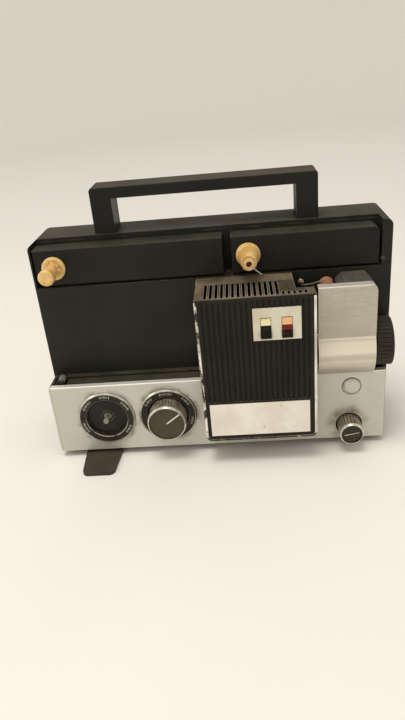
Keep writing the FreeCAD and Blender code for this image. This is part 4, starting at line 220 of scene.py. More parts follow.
# %% Rubbed edges
# Only edges that stand out are rubbed, so whatever lies in a hollow is left alone.
HOLLOW_REACH = 4 * MM
wear_group, into, put = new_group(
    "edge wear", [("Vector", VECTOR), ("Width", FLOAT), ("Amount", FLOAT)], [("Mask", FLOAT)])
rounded = make(wear_group, "ShaderNodeBevel", {"Radius": into["Width"]}, samples=6).outputs[0]
facing = make(wear_group, "ShaderNodeNewGeometry").outputs["Normal"]
agree = make(wear_group, "ShaderNodeVectorMath", {0: rounded, 1: facing},
             operation="DOT_PRODUCT").outputs["Value"]
edge = span(wear_group, agree, 0.84, 0.985, 1.0, 0.0)
sky = make(wear_group, "ShaderNodeAmbientOcclusion", {"Distance": HOLLOW_REACH}, samples=4
           ).outputs["AO"]
outside = span(wear_group, sky, 0.48, 0.72)
rub = calc(wear_group, "ADD", noise(wear_group, into["Vector"], 70.0, 5.0, 0.7),
           calc(wear_group, "MULTIPLY", into["Amount"], 0.5))
put("Mask", calc(wear_group, "MULTIPLY", calc(wear_group, "MULTIPLY", edge, outside),
                 span(wear_group, rub, 0.62, 0.78)))
print("wear group:", len(wear_group.nodes), "nodes")

# %% Moulded grain
grain_group, into, put = new_group(
    "moulded grain", [("Vector", VECTOR), ("Scale", FLOAT)], [("Height", FLOAT)])
fine = noise(grain_group, into["Vector"], into["Scale"], 2.0)
broad = noise(grain_group, into["Vector"], 120.0, 2.0)
put("Height", calc(grain_group, "ADD", fine, calc(grain_group, "MULTIPLY", broad, 0.8)))

# %% Distance round an axis that points at the operator
round_group, into, put = new_group(
    "round the axis", [("Vector", VECTOR), ("Centre", VECTOR)],
    [("Radius", FLOAT), ("Depth", FLOAT)])
away = make(round_group, "ShaderNodeVectorMath", {0: into["Vector"], 1: into["Centre"]},
            operation="SUBTRACT").outputs[0]
parts = make(round_group, "ShaderNodeSeparateXYZ", {0: away}).outputs
square = calc(round_group, "ADD", calc(round_group, "MULTIPLY", parts["X"], parts["X"]),
              calc(round_group, "MULTIPLY", parts["Z"], parts["Z"]))
put("Radius", calc(round_group, "SQRT", square))
put("Depth", parts["Y"])
print("shared effects:", len(bpy.data.node_groups))

# %% [markdown]
# ## Putting a finish together
#
# Every finish starts the same way: a new material, its shader, and the object's own
# coordinates, so that a pattern stays on its piece when the piece moves. On top of that come
# the shared groups, masks along an axis, and a bump for what is too fine to model. These
# steps are helpers, because each finish would otherwise repeat them.


# %% Helpers for the materials
def placed(tree, group, **sockets):
    """Places a shared group with this material's own values; gives its outputs."""
    item = make(tree, "ShaderNodeGroup", node_tree=group)
    for title, source in sockets.items():
        feed(tree, item.inputs[title], source)
    return item.outputs


def soil_corners(tree, spot, colour, soil, reach, amount):
    """The colour with soil in the piece's corners."""
    mask = placed(tree, dirt_group, Vector=spot, Reach=reach, Amount=amount)["Mask"]
    return blend(tree, mask, colour, tone(soil))


def rub_edges(tree, spot, colour, rubbed, width, amount):
    """The colour with a paler tone along the piece's edges."""
    mask = placed(tree, wear_group, Vector=spot, Width=width, Amount=amount)["Mask"]
    return blend(tree, mask, colour, tone(rubbed))


def along(tree, spot, axis):
    """The coordinate along X, Y or Z, in metres."""
    return make(tree, "ShaderNodeSeparateXYZ", {0: spot}).outputs[axis]


def between(tree, value, low, high, soft, soft_above=None):
    """A mask that is 1 from low to high and fades outside over a soft length.

    It fades as softly above as below, unless soft_above gives another length there.
    """
    return calc(tree, "MULTIPLY", span(tree, value, low - soft, low),
                span(tree, value, high, high + (soft_above or soft), 1.0, 0.0))


def new_finish(name, metallic=0.0, roughness=0.5, **plain):
    """A new material; gives it, its tree, its shader's inputs and the object's coordinates."""
    material = bpy.data.materials.new(name)
    material.use_nodes = True
    tree = material.node_tree
    shader = tree.nodes["Principled BSDF"]
    shader.inputs["Metallic"].default_value = metallic
    shader.inputs["Roughness"].default_value = roughness
    for title, value in plain.items():
        shader.inputs[title.replace("_", " ")].default_value = value
    spot = make(tree, "ShaderNodeTexCoord").outputs["Object"]
    return material, tree, shader.inputs, spot


def rough_up(tree, shader, height, strength, distance):
    """Feeds a height to the shader as a bump."""
    bump = make(tree, "ShaderNodeBump", {"Height": height, "Strength": strength,
                                         "Distance": distance})
    tree.links.new(bump.outputs["Normal"], shader["Normal"])


def wear_all(names, material):
    """Gives a material to frame solids by name."""
    for name in names:
        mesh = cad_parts[name].data
        mesh.materials.clear()
        mesh.materials.append(material)
        print(material.name, "->", name)


# %% [markdown]
# ## Black mouldings
#
# Case, arms, handle and lamp house are moulded in black plastic with a fine grain. It isn't
# a pure black: the fronts read charcoal, the tops carry a brown film of dust, corners hold
# more of it and edges are rubbed to a paler grey. One recipe makes all of them, and the
# amounts differ from piece to piece.


# %% Recipe for black plastic
# SMUDGE and DUST_ROUGH change the roughness, and DUST_LEFT is the blown zone's share of dust.
GRAIN_DEEP = 0.05 * MM
SMUDGE = 0.08
DUST_ROUGH = 0.35
DUST_LEFT = 0.45


def black_moulding(name, body="#23241f", cloud="#2b2a25", dusty="#5a5242", soil="#302b21",
                   rubbed="#6f6a5e", dust=0.5, dirt=0.5, wear=0.3, edge=0.6 * MM, gloss=0.46,
                   shine=0.14, grain=1400.0, worn_above=None, blown=None):
    """Plastic with dust on top, soil in its corners and rubbed edges.

    Below the height worn_above no edge is rubbed. Dust is thinner in the blown zone, given
    as (low x, high x, low y, high y).
    """
    material, tree, shader, spot = new_finish(name, Specular_IOR_Level=shine)
    colour = blend(tree, patches(tree, spot, 24.0, 0.35, 0.65, top=0.7, detail=4.0),
                   tone(body), tone(cloud))
    colour = soil_corners(tree, spot, colour, soil, 4 * MM, dirt)
    facing = make(tree, "ShaderNodeTexCoord").outputs["Normal"]
    dust_mask = placed(tree, dust_group, Vector=spot, Normal=facing, Amount=dust)["Mask"]
    if blown:
        across = between(tree, along(tree, spot, "X"), *blown[:2], 4 * MM)
        inward = between(tree, along(tree, spot, "Y"), *blown[2:], 2 * MM)
        zone = calc(tree, "MULTIPLY", across, inward)
        dust_mask = calc(tree, "MULTIPLY", dust_mask, span(tree, zone, 0.0, 1.0, 1.0, DUST_LEFT))
    colour = blend(tree, dust_mask, colour, tone(dusty))
    rub_mask = placed(tree, wear_group, Vector=spot, Width=edge, Amount=wear)["Mask"]
    if worn_above is not None:
        high_enough = span(tree, along(tree, spot, "Z"), worn_above, worn_above + MM)
        rub_mask = calc(tree, "MULTIPLY", rub_mask, high_enough)
    colour = blend(tree, rub_mask, colour, tone(rubbed))
    feed(tree, shader["Base Color"], colour)
    smudge = patches(tree, spot, 14.0, 0.3, 0.7, gloss - SMUDGE, gloss + SMUDGE)
    dull = calc(tree, "MULTIPLY", dust_mask, DUST_ROUGH)
    feed(tree, shader["Roughness"], calc(tree, "ADD", smudge, dull))
    height = placed(tree, grain_group, Vector=spot, Scale=grain)["Height"]
    rough_up(tree, shader, height, 0.5, GRAIN_DEEP)
    return material


wear_all(("rear_cover", "front_case"), black_moulding("case black"))
wear_all(("lower_case",), black_moulding("deck black", dusty="#4d4738", dust=0.75, dirt=0.7))
wear_all(("supply_arm", "take_up_arm"),
         black_moulding("arm black", body="#1d1e1a", cloud="#252420", dusty="#575041", wear=0.55,
                        edge=0.8 * MM))
wear_all(("carry_handle",),
         black_moulding("handle black", body="#1d1d1a", cloud="#242320", dust=0.6, grain=900.0))
wear_all(("swing_foot",), black_moulding("foot black", body="#36332b", cloud="#413d33",
                                         dust=0.35, gloss=0.55, shine=0.2))
wear_all(("base_plate", "framing_cup"),
         black_moulding("underside black", body="#1a1a18", dust=0.2, gloss=0.45))

# %% The lamp house, brown with warm dust
# Air from the slots keeps the middle of the top barer than its rims, and only the upper edges
# are rubbed.
RUBBED_HIGH = 1.6 * MM
RIM_LEFT, RIM_RIGHT, RIM_FRONT = 8 * MM, 10 * MM, 7 * MM
lamp_low, lamp_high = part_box("lamp_house_cover")
lamp_black = black_moulding(
    "lamp house black", body="#1f1d18", cloud="#27241e", dusty="#7f715b", soil="#15130f",
    rubbed="#b3ab9b", dust=0.9, dirt=0.8, wear=1.0, edge=0.8 * MM, grain=800.0,
    worn_above=lamp_high.z - RUBBED_HIGH,
    blown=(lamp_low.x + RIM_LEFT, lamp_high.x - RIM_RIGHT, lamp_low.y + RIM_FRONT, lamp_high.y))
wear_all(("lamp_house_cover", "lamp_house_frame"), lamp_black)

# %% [markdown]
# ## Silver sheet
#
# The control panel is anodised sheet, matt and a little yellow with age. Round the dials and
# under the small knob fingers have left brown soil, so a mask round each of their centres
# darkens the sheet there. The gate cover is brushed from side to side, which shows as fine
# streaks, with a few brighter dashes near its top. Both carry painted light in bands: a thin
# painted highlight along their upper edge, and on the gate cover a painted reflection on the
# bulge over a band of painted shade. The heights of these bands are counted from each
# piece's own box.

# %% Centres of the dials and knobs
knob_low, knob_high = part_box("function_knob")
knob_centre = Vector(((knob_low.x + knob_high.x) / 2, 0.0, (knob_low.z + knob_high.z) / 2))
shaft_low, shaft_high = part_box("speed_shaft")
shaft_centre = Vector(((shaft_low.x + shaft_high.x) / 2, 0.0, knob_centre.z))
framing_low, framing_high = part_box("framing_knob")
framing_centre = Vector(((framing_low.x + framing_high.x) / 2, 0.0,
                         (framing_low.z + framing_high.z) / 2))
DIAL_RADIUS = 24.4 * MM
CUP_RADIUS = 12.2 * MM
print("dial centres in mm:", [round(c.x / MM, 1) for c in (shaft_centre, knob_centre)])


# %% Recipe for silver sheet
def silver_sheet(name, body, shade, brush, roughness, metallic=0.5, dirt=0.5, streak=0.25,
                 soiled=(), painted_light_bands=(), dashes=None):
    """Sheet metal with brush marks and bright rubbed edges.

    Soil round a centre is given as (centre, radius, reach), a band of painted light as (low z,
    high z, soft length below, soft length above, tone, strength), and dashes as (low z, high z).
    """
    material, tree, shader, spot = new_finish(name, metallic=metallic)
    hairs = noise(tree, stretched(tree, spot, brush), 1.0, 3.0, 0.7)
    cloudy = patches(tree, spot, 18.0, 0.3, 0.7, top=0.6, detail=4.0)
    colour = blend(tree, cloudy, tone(body), tone(shade))
    colour = blend(tree, span(tree, hairs, 0.3, 0.7, 0.0, streak), colour, tone(shade))
    for centre, radius, reach in soiled:
        away = placed(tree, round_group, Vector=spot, Centre=centre)["Radius"]
        ring = span(tree, away, radius, radius + reach, 1.0, 0.0)
        cloudy = patches(tree, spot, 85.0, 0.4, 0.66, top=0.75, detail=4.0)
        colour = blend(tree, calc(tree, "MULTIPLY", ring, cloudy), colour, tone("#7d6b4c"))
    colour = soil_corners(tree, spot, colour, "#5f553f", 6 * MM, dirt)
    specks = patches(tree, spot, 420.0, 0.67, 0.75, top=0.3)
    colour = blend(tree, specks, colour, tone("#6b6352"))
    height = along(tree, spot, "Z")
    if dashes:
        waves = noise(tree, stretched(tree, spot, (110.0, 110.0, 2100.0)), 1.0, 2.0)
        bars = calc(tree, "MULTIPLY", between(tree, height, *dashes, 2 * MM),
                    span(tree, waves, 0.6, 0.68, 0.0, 0.65))
        colour = blend(tree, bars, colour, tone("#f4efe2"))
    # Each band is painted light on the sheet, at its own height.
    for low, high, soft, soft_above, code, amount in painted_light_bands:
        painted_band = between(tree, height, low, high, soft, soft_above)
        colour = blend(tree, calc(tree, "MULTIPLY", painted_band, amount), colour, tone(code))
    # The near white along the edges is partly rubbed metal and partly a painted highlight.
    colour = rub_edges(tree, spot, colour, "#f6f1e6", 0.9 * MM, 0.9)
    feed(tree, shader["Base Color"], colour)
    feed(tree, shader["Roughness"], span(tree, hairs, 0.25, 0.75, roughness - 0.07,
                                         roughness + 0.09))
    rough_up(tree, shader, hairs, 0.2, 0.03 * MM)
    return material


# %% Control panel, button and sleeve
GLINT_SOFT = 0.2 * MM
GLINT_WIDE = 0.8 * MM
SOIL_ROUND_DIAL, SOIL_ROUND_CUP = 5 * MM, 10 * MM
EVEN_BRUSH = (300.0, 300.0, 900.0)
panel_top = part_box("front_panel")[1].z
# The panel's one band is a painted highlight along its top edge.
panel_silver = silver_sheet(
    "panel silver", "#d0d0c8", "#c0bdb0", EVEN_BRUSH, 0.46,
    soiled=((shaft_centre, DIAL_RADIUS, SOIL_ROUND_DIAL),
            (knob_centre, DIAL_RADIUS, SOIL_ROUND_DIAL),
            (framing_centre, CUP_RADIUS, SOIL_ROUND_CUP)),
    painted_light_bands=((panel_top - GLINT_WIDE, panel_top, GLINT_SOFT, GLINT_SOFT, "#fbf7ee", 0.75),))
wear_all(("front_panel",), panel_silver)
wear_all(("push_button",),
         silver_sheet("button silver", "#d3d0c6", "#bdb8a9", EVEN_BRUSH, 0.35, dirt=0.9))
# The sleeve is a darker copy of the button's silver: painted shade round the button.
wear_all(("button_sleeve",),
         silver_sheet("sleeve silver in painted shade", "#8f897a", "#777060", EVEN_BRUSH, 0.45))

# %% Gate cover
# Its bands are all painted light: a painted reflection on the bulge that faces the light,
# painted shade below it, and a painted highlight on the ledge and another on the top edge.
LEDGE_HIGH = 33.6 * MM
SIDE_BRUSH = (25.0, 700.0, 900.0)
gate_low, gate_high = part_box("gate_cover")
ledge, top = gate_low.z + LEDGE_HIGH, gate_high.z
gate_painted_light = (
    (ledge - 9 * MM, ledge, 24 * MM, 1.5 * MM, "#efe7d6", 0.8),
    (ledge - 16.5 * MM, ledge - 14.5 * MM, 3 * MM, 3 * MM, "#9f9787", 0.4),
    (ledge - 1.2 * MM, ledge - 0.1 * MM, GLINT_SOFT, GLINT_SOFT, "#fffcf4", 0.9),
    (top - 0.7 * MM, top, GLINT_SOFT, GLINT_SOFT, "#fbf7ee", 0.45))
wear_all(("gate_cover",),
         silver_sheet("gate silver", "#bfb9ab", "#a49d8d", SIDE_BRUSH, 0.34, metallic=0.4,
                      dirt=0.35, streak=0.4, painted_light_bands=gate_painted_light,
                      dashes=(top - 15 * MM, top - 5 * MM)))

# %% [markdown]
# ## Chipped bright edge of the lamp house
#
# A thin strip of plated plastic runs round the lamp house. Part of its plating has come off,
# most of it on the left and along the bottom, so bright and black patches follow each other
# there. A noise with a sharp limit cuts the strip into chips. The limit rises from left to
# right, and the same mask drives both colour and metal. Along the bottom nearly all of the
# plating is gone but the rims.

# %% Chipped strip
CHIPS_LEFT, CHIPS_RIGHT = 0.49, 0.6
CHIP_EDGE = 0.03
BARE_HIGH = 2.5 * MM
chipped, tree, shader, spot = new_finish("chipped bright strip", roughness=0.32)
trim_low, trim_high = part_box("lamp_trim")
limit = span(tree, along(tree, spot, "X"), trim_low.x, trim_high.x, CHIPS_LEFT, CHIPS_RIGHT)
torn = noise(tree, stretched(tree, spot, (150.0, 150.0, 75.0)), 1.0, 6.0, 0.75)
flakes = span(tree, torn, limit, calc(tree, "ADD", limit, CHIP_EDGE))
bottom = span(tree, along(tree, spot, "Z"), trim_low.z + BARE_HIGH, trim_low.z + 2 * BARE_HIGH,
              1.0, 0.0)
rims = placed(tree, wear_group, Vector=spot, Width=0.6 * MM, Amount=1.0)["Mask"]
bare = calc(tree, "MULTIPLY", bottom, calc(tree, "SUBTRACT", 1.0, rims))
bare = calc(tree, "MULTIPLY", bare, span(tree, torn, 0.36, 0.4))
flakes = calc(tree, "MAXIMUM", flakes, bare)
pale = blend(tree, patches(tree, spot, 30.0, 0.4, 0.6, detail=2.0), tone("#ece8de"),
             tone("#c3beb1"))
feed(tree, shader["Base Color"], blend(tree, flakes, pale, tone("#1f1d1a")))
feed(tree, shader["Metallic"], span(tree, flakes, 0.0, 1.0, 0.35, 0.0))
rough_up(tree, shader, calc(tree, "SUBTRACT", 1.0, flakes), 0.6, 0.08 * MM)
wear_all(("lamp_trim",), chipped)

# %% [markdown]
# ## Plain metals, plastics and small fillings
#
# Steel pins, plated sheet, a rubber belt: each is a quiet material with a little variation,
# because a single flat colour reads as a toy. Some get stains, and some a paler tone along
# their rubbed edges.


# %% Recipe for plain stock
def stained(tree, spot, colour, stain):
    """The colour with small stains scattered over it."""
    drops = patches(tree, spot, 210.0, 0.6, 0.7, top=0.65, rough=0.6)
    return blend(tree, drops, colour, tone(stain))


def stock(name, body, shade, metallic=0.0, roughness=0.45, scale=60.0, dirt=0.4, bump=0.15,
          stain=None, rubbed=None, soil="#2c2620", **plain):
    """A material of two tones in patches, with soil in its corners."""
    material, tree, shader, spot = new_finish(name, metallic=metallic, **plain)
    cloudy = noise(tree, spot, scale, 5.0, 0.6)
    colour = blend(tree, span(tree, cloudy, 0.32, 0.68), tone(body), tone(shade))
    if stain:
        colour = stained(tree, spot, colour, stain)
    colour = soil_corners(tree, spot, colour, soil, 3 * MM, dirt)
    if rubbed:
        colour = rub_edges(tree, spot, colour, rubbed, 0.7 * MM, 0.7)
    feed(tree, shader["Base Color"], colour)
    feed(tree, shader["Roughness"], span(tree, cloudy, 0.3, 0.7, roughness - 0.06,
                                         roughness + 0.08))
    rough_up(tree, shader, noise(tree, spot, scale * 12, 2.0), bump, 0.05 * MM)
    return material


steel = stock("turned steel", "#a9a69f", "#7e7b74", metallic=1.0, roughness=0.32, scale=140.0)
zinc = stock("plated sheet", "#9c9a8e", "#80806f", metallic=0.9, roughness=0.42, scale=45.0)
wear_all(("foot_rivet", "roller_pins", "arm_pivots", "motor_shaft", "shutter_shaft",
          "pressure_plate", "aperture_plate", "case_screws"), steel)
wear_all(("chassis", "shutter_bearings", "motor_can"), zinc)
wear_all(("speed_shaft",), stock("grey shaft", "#8d8a7e", "#6b685d", roughness=0.5, dirt=0.7,
                                 soil="#1c1a16", rubbed="#c9c5b8"))
wear_all(("shutter_disc", "fan_wheel", "lens_barrel"),
         stock("blackened metal", "#191918", "#2b2a28", metallic=0.4, roughness=0.5))
wear_all(("lens_mount",),
         stock("cast block", "#615e51", "#4c4940", metallic=0.15, roughness=0.5, scale=80.0,
               stain="#47433a", rubbed="#a5a193", dirt=0.6))
wear_all(("arm_pulley", "switch_block", "power_inlet", "dial_controls"),
         stock("dark fittings", "#1f1e1d", "#2d2b29", roughness=0.5))
wear_all(("rubber_feet", "drive_belt", "take_up_belt"),
         stock("rubber", "#191817", "#262422", roughness=0.8, bump=0.3))
wear_all(("transformer_winding",),
         stock("copper tape", "#9a5b33", "#7c4526", metallic=0.7, roughness=0.4))
wear_all(("transformer_core",),
         stock("core sheets", "#4d4a46", "#332f2c", metallic=0.6, roughness=0.5, scale=300.0))
wear_all(("lamp_socket",), stock("ceramic", "#d8d2c2", "#bcb39d", roughness=0.6))
wear_all(("guide_roller",),
         stock("terracotta plastic", "#b27858", "#8f5b42", roughness=0.55, dirt=0.6,
               scale=160.0, soil="#4b2a1e", rubbed="#c79a7c"))
wear_all(("deck_roller",), stock("grey roller", "#8c8a80", "#6c6a61", roughness=0.5))
wear_all(("dial_rims",), stock("bright rim", "#dedacf", "#a39d8e", metallic=0.8,
                               roughness=0.3, scale=120.0))
wear_all(("function_pointer",), stock("pointer white", "#ebe7dc", "#d5d0c2", roughness=0.4))

# %% [markdown]
# ## Yellowed spindles and pale plates
#
# The reel spindles were cream once and have turned honey yellow, with brown stains where
# hands and film touched them. The switch plate and the large label plate are thin pale
# plastic. Both are bare here; a few stains and a soiled edge stay. Light sinks a little way
# into the thin cream walls of the spindles, so their shader scatters some of it.

# %% Spindles
# How far red, green and blue light sink in.
SINK = (2 * MM, 1.2 * MM, 0.6 * MM)
# The pale tone on their rubbed edges is wear and also a painted highlight.
wear_all(("supply_spindle", "take_up_spindle"),
         stock("yellowed cream", "#ecca86", "#d0a156", roughness=0.38, scale=90.0, dirt=0.7,
               stain="#b0763c", soil="#6b4320", rubbed="#f5e6bd", Subsurface_Weight=0.08,
               Subsurface_Radius=SINK))


# %% Plates
def plate(name, body, shade, stain):
    """Pale plastic with a stain here and there and soil along its edge."""
    material, tree, shader, spot = new_finish(name, roughness=0.42)
    cloudy = patches(tree, spot, 38.0, 0.35, 0.65, detail=5.0, rough=0.6)
    colour = blend(tree, cloudy, tone(body), tone(shade))
    spots = patches(tree, spot, 130.0, 0.66, 0.73, top=0.7, detail=4.0, rough=0.65)
    colour = blend(tree, spots, colour, tone(stain))
    colour = soil_corners(tree, spot, colour, "#2b2621", 2 * MM, 0.7)
    feed(tree, shader["Base Color"], colour)
    rough_up(tree, shader, noise(tree, spot, 600.0, 2.0), 0.15, 0.03 * MM)
    return material


wear_all(("switch_plate",), plate("switch plate cream", "#dad6c4", "#ccc6ae", "#a08d5c"))
wear_all(("label_plate",), plate("label plate pale", "#efebe0", "#e3dccf", "#a87a55"))


# %% [markdown]
# ## Rockers
#
# Each rocker shows three bands: cream or orange along the top, where it catches the light,
# black or deep red in the middle, and near black below. They are lit and shaded copies of the
# rocker's colour: the top band is painted light, the middle and bottom bands are painted
# shade. The bands lie at fixed shares of the rocker's height, so masks over Z make them.


# %% Rockers with three bands
LOWER_SHARE, UPPER_SHARE = 0.34, 0.7
BAND_EDGE = 0.03


def rocker(name, node, upper, middle, lower):
    """Three bands from the bottom of the node to its top: painted shade below, painted light on
    top.
    """
    material, tree, shader, spot = new_finish(name, roughness=0.35, Specular_IOR_Level=0.15)
    bottom, top = (corner.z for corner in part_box(node))
    share = span(tree, along(tree, spot, "Z"), bottom, top)
    # Painted shade in the two lower bands, painted light in the top band.
    out_of_deep_shade = span(tree, share, LOWER_SHARE, LOWER_SHARE + BAND_EDGE)
    into_lit_top = span(tree, share, UPPER_SHARE, UPPER_SHARE + BAND_EDGE)
    colour = blend(tree, out_of_deep_shade, tone(lower), tone(middle))
    colour = blend(tree, into_lit_top, colour, tone(upper))
    colour = blend(tree, patches(tree, spot, 500.0, 0.6, 0.7, top=0.4), colour, tone("#6d5f4a"))
    colour = soil_corners(tree, spot, colour, "#14110e", 1.2 * MM, 0.9)
    feed(tree, shader["Base Color"], colour)
    rough_up(tree, shader, noise(tree, spot, 700.0, 2.0), 0.12, 0.04 * MM)
    wear_all((node,), material)


rocker("cream rocker", "lamp_rocker", "#ece5b4", "#1a1812", "#100f0c")
rocker("red rocker", "motor_rocker", "#efb98c", "#6e1f19", "#120c0b")

# %% [markdown]
# ## Dials and knobs
#
# A knob has three finishes on one turned body: a black face, a bright thin rim and a
# knurled silver side with dirt in its grooves. All three follow the distance from the knob's
# own axis, so the group made for that gives the masks. The dials are black wells, and low on
# the edge of each a thin bright line is a painted highlight.

# %% Knob recipe
RIM_WIDE, RIM_SOFT = 1.15 * MM, 0.15 * MM
FACE_DEEP, FACE_SOFT = 2.0 * MM, 0.4 * MM
TURNING_LINES = 9000.0


def knob(name, node, centre, radius, face_y, face_tone):
    """Black face, bright rim and knurled side, told apart by radius and depth."""
    material, tree, shader, spot = new_finish(name)
    away = placed(tree, round_group, Vector=spot, Centre=centre)
    inner, behind = radius - RIM_WIDE, face_y + FACE_DEEP
    face = span(tree, away["Radius"], inner - RIM_SOFT, inner + RIM_SOFT, 1.0, 0.0)
    front = span(tree, away["Depth"], behind - FACE_SOFT, behind + FACE_SOFT, 1.0, 0.0)
    black = calc(tree, "MULTIPLY", face, front)
    side = blend(tree, patches(tree, spot, 160.0, 0.35, 0.65), tone("#b4ab99"), tone("#8b7f6b"))
    side = soil_corners(tree, spot, side, "#3a2e20", 2.2 * MM, 0.85)
    rim = blend(tree, patches(tree, spot, 200.0, 0.45, 0.6), tone("#f0ede4"), tone("#c5c0b3"))
    specks = patches(tree, spot, 700.0, 0.6, 0.7, top=0.5, detail=2.0)
    cap = blend(tree, specks, tone(face_tone), tone("#6b6454"))
    feed(tree, shader["Base Color"], blend(tree, black, blend(tree, front, side, rim), cap))
    feed(tree, shader["Metallic"], span(tree, black, 0.0, 1.0, 0.55, 0.0))
    feed(tree, shader["Roughness"], span(tree, front, 0.0, 1.0, 0.48, 0.36))
    feed(tree, shader["Specular IOR Level"], span(tree, black, 0.0, 1.0, 0.5, 0.15))
    turning = calc(tree, "SINE", calc(tree, "MULTIPLY", away["Radius"], TURNING_LINES))
    rough_up(tree, shader, turning, 0.12, 0.04 * MM)
    wear_all((node,), material)


knob("main knob", "function_knob", knob_centre, (knob_high.x - knob_low.x) / 2, knob_low.y,
     "#4b473b")
knob("small knob", "framing_knob", framing_centre, (framing_high.x - framing_low.x) / 2,
     framing_low.y, "#38352c")

# %% Dials
# The painted highlight lies between two radii. It is bright low on the well and faint above.
GLINT_FROM, GLINT_TO, GLINT_FADE = 17.8 * MM, 18.05 * MM, 0.12 * MM
BRIGHT_BELOW, FAINT_ABOVE = 9 * MM, 3 * MM


def dial_black():
    """Black plastic with a painted highlight: a bright line low on the edge of each well."""
    material, tree, shader, spot = new_finish("dial black", roughness=0.42,
                                              Specular_IOR_Level=0.2)
    cloudy = patches(tree, spot, 60.0, 0.32, 0.68, detail=5.0, rough=0.6)
    colour = blend(tree, cloudy, tone("#24231e"), tone("#2f2d26"))
    colour = stained(tree, spot, colour, "#3d392e")
    torn = patches(tree, spot, 150.0, 0.36, 0.46, detail=4.0, rough=0.7)
    for centre in (shaft_centre, knob_centre):
        away = placed(tree, round_group, Vector=spot, Centre=centre)["Radius"]
        # A painted highlight: a bright line round the well, strongest low on it.
        line = between(tree, away, GLINT_FROM, GLINT_TO, GLINT_FADE)
        low = span(tree, along(tree, spot, "Z"), centre.z - BRIGHT_BELOW,
                   centre.z + FAINT_ABOVE, 1.0, 0.1)
        glint = calc(tree, "MULTIPLY", calc(tree, "MULTIPLY", line, low), torn)
        colour = blend(tree, glint, colour, tone("#c9c4b7"))
    colour = rub_edges(tree, spot, colour, "#a9a497", 0.7 * MM, 0.6)
    colour = soil_corners(tree, spot, colour, "#14130f", 3 * MM, 0.5)
    feed(tree, shader["Base Color"], colour)
    return material


wear_all(("dials",), dial_black())

# %% [markdown]
# ## Focus ring, lens glasses and mirror
#
# The focus ring is ribbed black plastic, with dirt between the ribs and edges rubbed pale by
# fingers. The lens glasses and the mirror behind the lamp are hidden in the photograph, so
# they are kept plain: clear glass with the faint violet of a coating, and a very smooth
# metal. The glass lets light through for real and isn't a painted disc, because only that
# looks right from every side.

# %% Focus ring, glass and mirror
wear_all(("focus_ring",),
         stock("ring black", "#24211b", "#2f2b23", roughness=0.5, dirt=0.6, soil="#0f0e0c",
               rubbed="#5d574b", Specular_IOR_Level=0.2))

glass, tree, shader, spot = new_finish("coated glass", roughness=0.03,
                                       Transmission_Weight=1.0, IOR=1.5)
haze = patches(tree, spot, 60.0, 0.3, 0.7)
feed(tree, shader["Base Color"], blend(tree, haze, tone("#f4f2ff"), tone("#e6e9ff")))
wear_all(("lens_glasses",), glass)
wear_all(("lamp_mirror",), stock("mirror coat", "#d9d8e2", "#c1bfd2", metallic=1.0,
                                 roughness=0.12, scale=40.0))

# %% [markdown]
# ## Small things that repeat
#
# Pale marks stand round both dials in groups, a spring is a coil of wire, and a bit of wire
# follows a bend. What repeats or follows a path is work for Geometry Nodes: each tree has
# named inputs for its sizes, and its result is turned into a plain mesh.

# %% Finishes of the small things
ink = stock("pale ink", "#d8d3c5", "#b5afa1", roughness=0.6, scale=300.0, dirt=0.0)
spring_wire = stock("tan spring wire", "#a5906d", "#7d6a4c", metallic=0.5, roughness=0.4,
                    scale=200.0, rubbed="#d9cba8")
grey_wire = stock("grey wire", "#b3a5a0", "#8d807c", metallic=0.4, roughness=0.4, scale=200.0)
dark_screw = stock("dark screw", "#35332d", "#4a463c", metallic=0.6, roughness=0.45,
                   scale=200.0, rubbed="#8a8474")


# %% Start and end of a tree
COUNT = "NodeSocketInt"


def new_tree(name, inputs):
    """An empty Geometry Nodes tree with named inputs; gives the tree and its inputs."""
    tree = bpy.data.node_groups.new(name, "GeometryNodeTree")
    for title, kind in (*inputs, ("Finish", "NodeSocketMaterial")):
        tree.interface.new_socket(title, in_out="INPUT", socket_type=kind)
    tree.interface.new_socket("Geometry", in_out="OUTPUT", socket_type="NodeSocketGeometry")
    return tree, make(tree, "NodeGroupInput").outputs


def finish_tree(tree, into, geometry):
    """Ends a tree: real geometry, with its material."""
    real = make(tree, "GeometryNodeRealizeInstances", {"Geometry": geometry}).outputs[0]
    dressed = make(tree, "GeometryNodeSetMaterial",
                   {"Geometry": real, "Material": into["Finish"]}).outputs[0]
    tree.links.new(dressed, make(tree, "NodeGroupOutput").inputs[0])
    print(tree.name, "tree:", len(tree.nodes), "nodes")
    return tree


WIRE_SIDES = 10


def swept(tree, curve, radius):
    """A round wire along a curve, smooth to look at."""
    ring = make(tree, "GeometryNodeCurvePrimitiveCircle",
                {"Resolution": WIRE_SIDES, "Radius": radius})
    wire = make(tree, "GeometryNodeCurveToMesh",
                {"Curve": curve, "Profile Curve": ring.outputs[0], "Fill Caps": True})
    return make(tree, "GeometryNodeSetShadeSmooth", {"Geometry": wire.outputs[0]}).outputs[0]


# %% Bars on an arc
# A long bar is longer than the others by this share.
LONGER_BY = 0.8


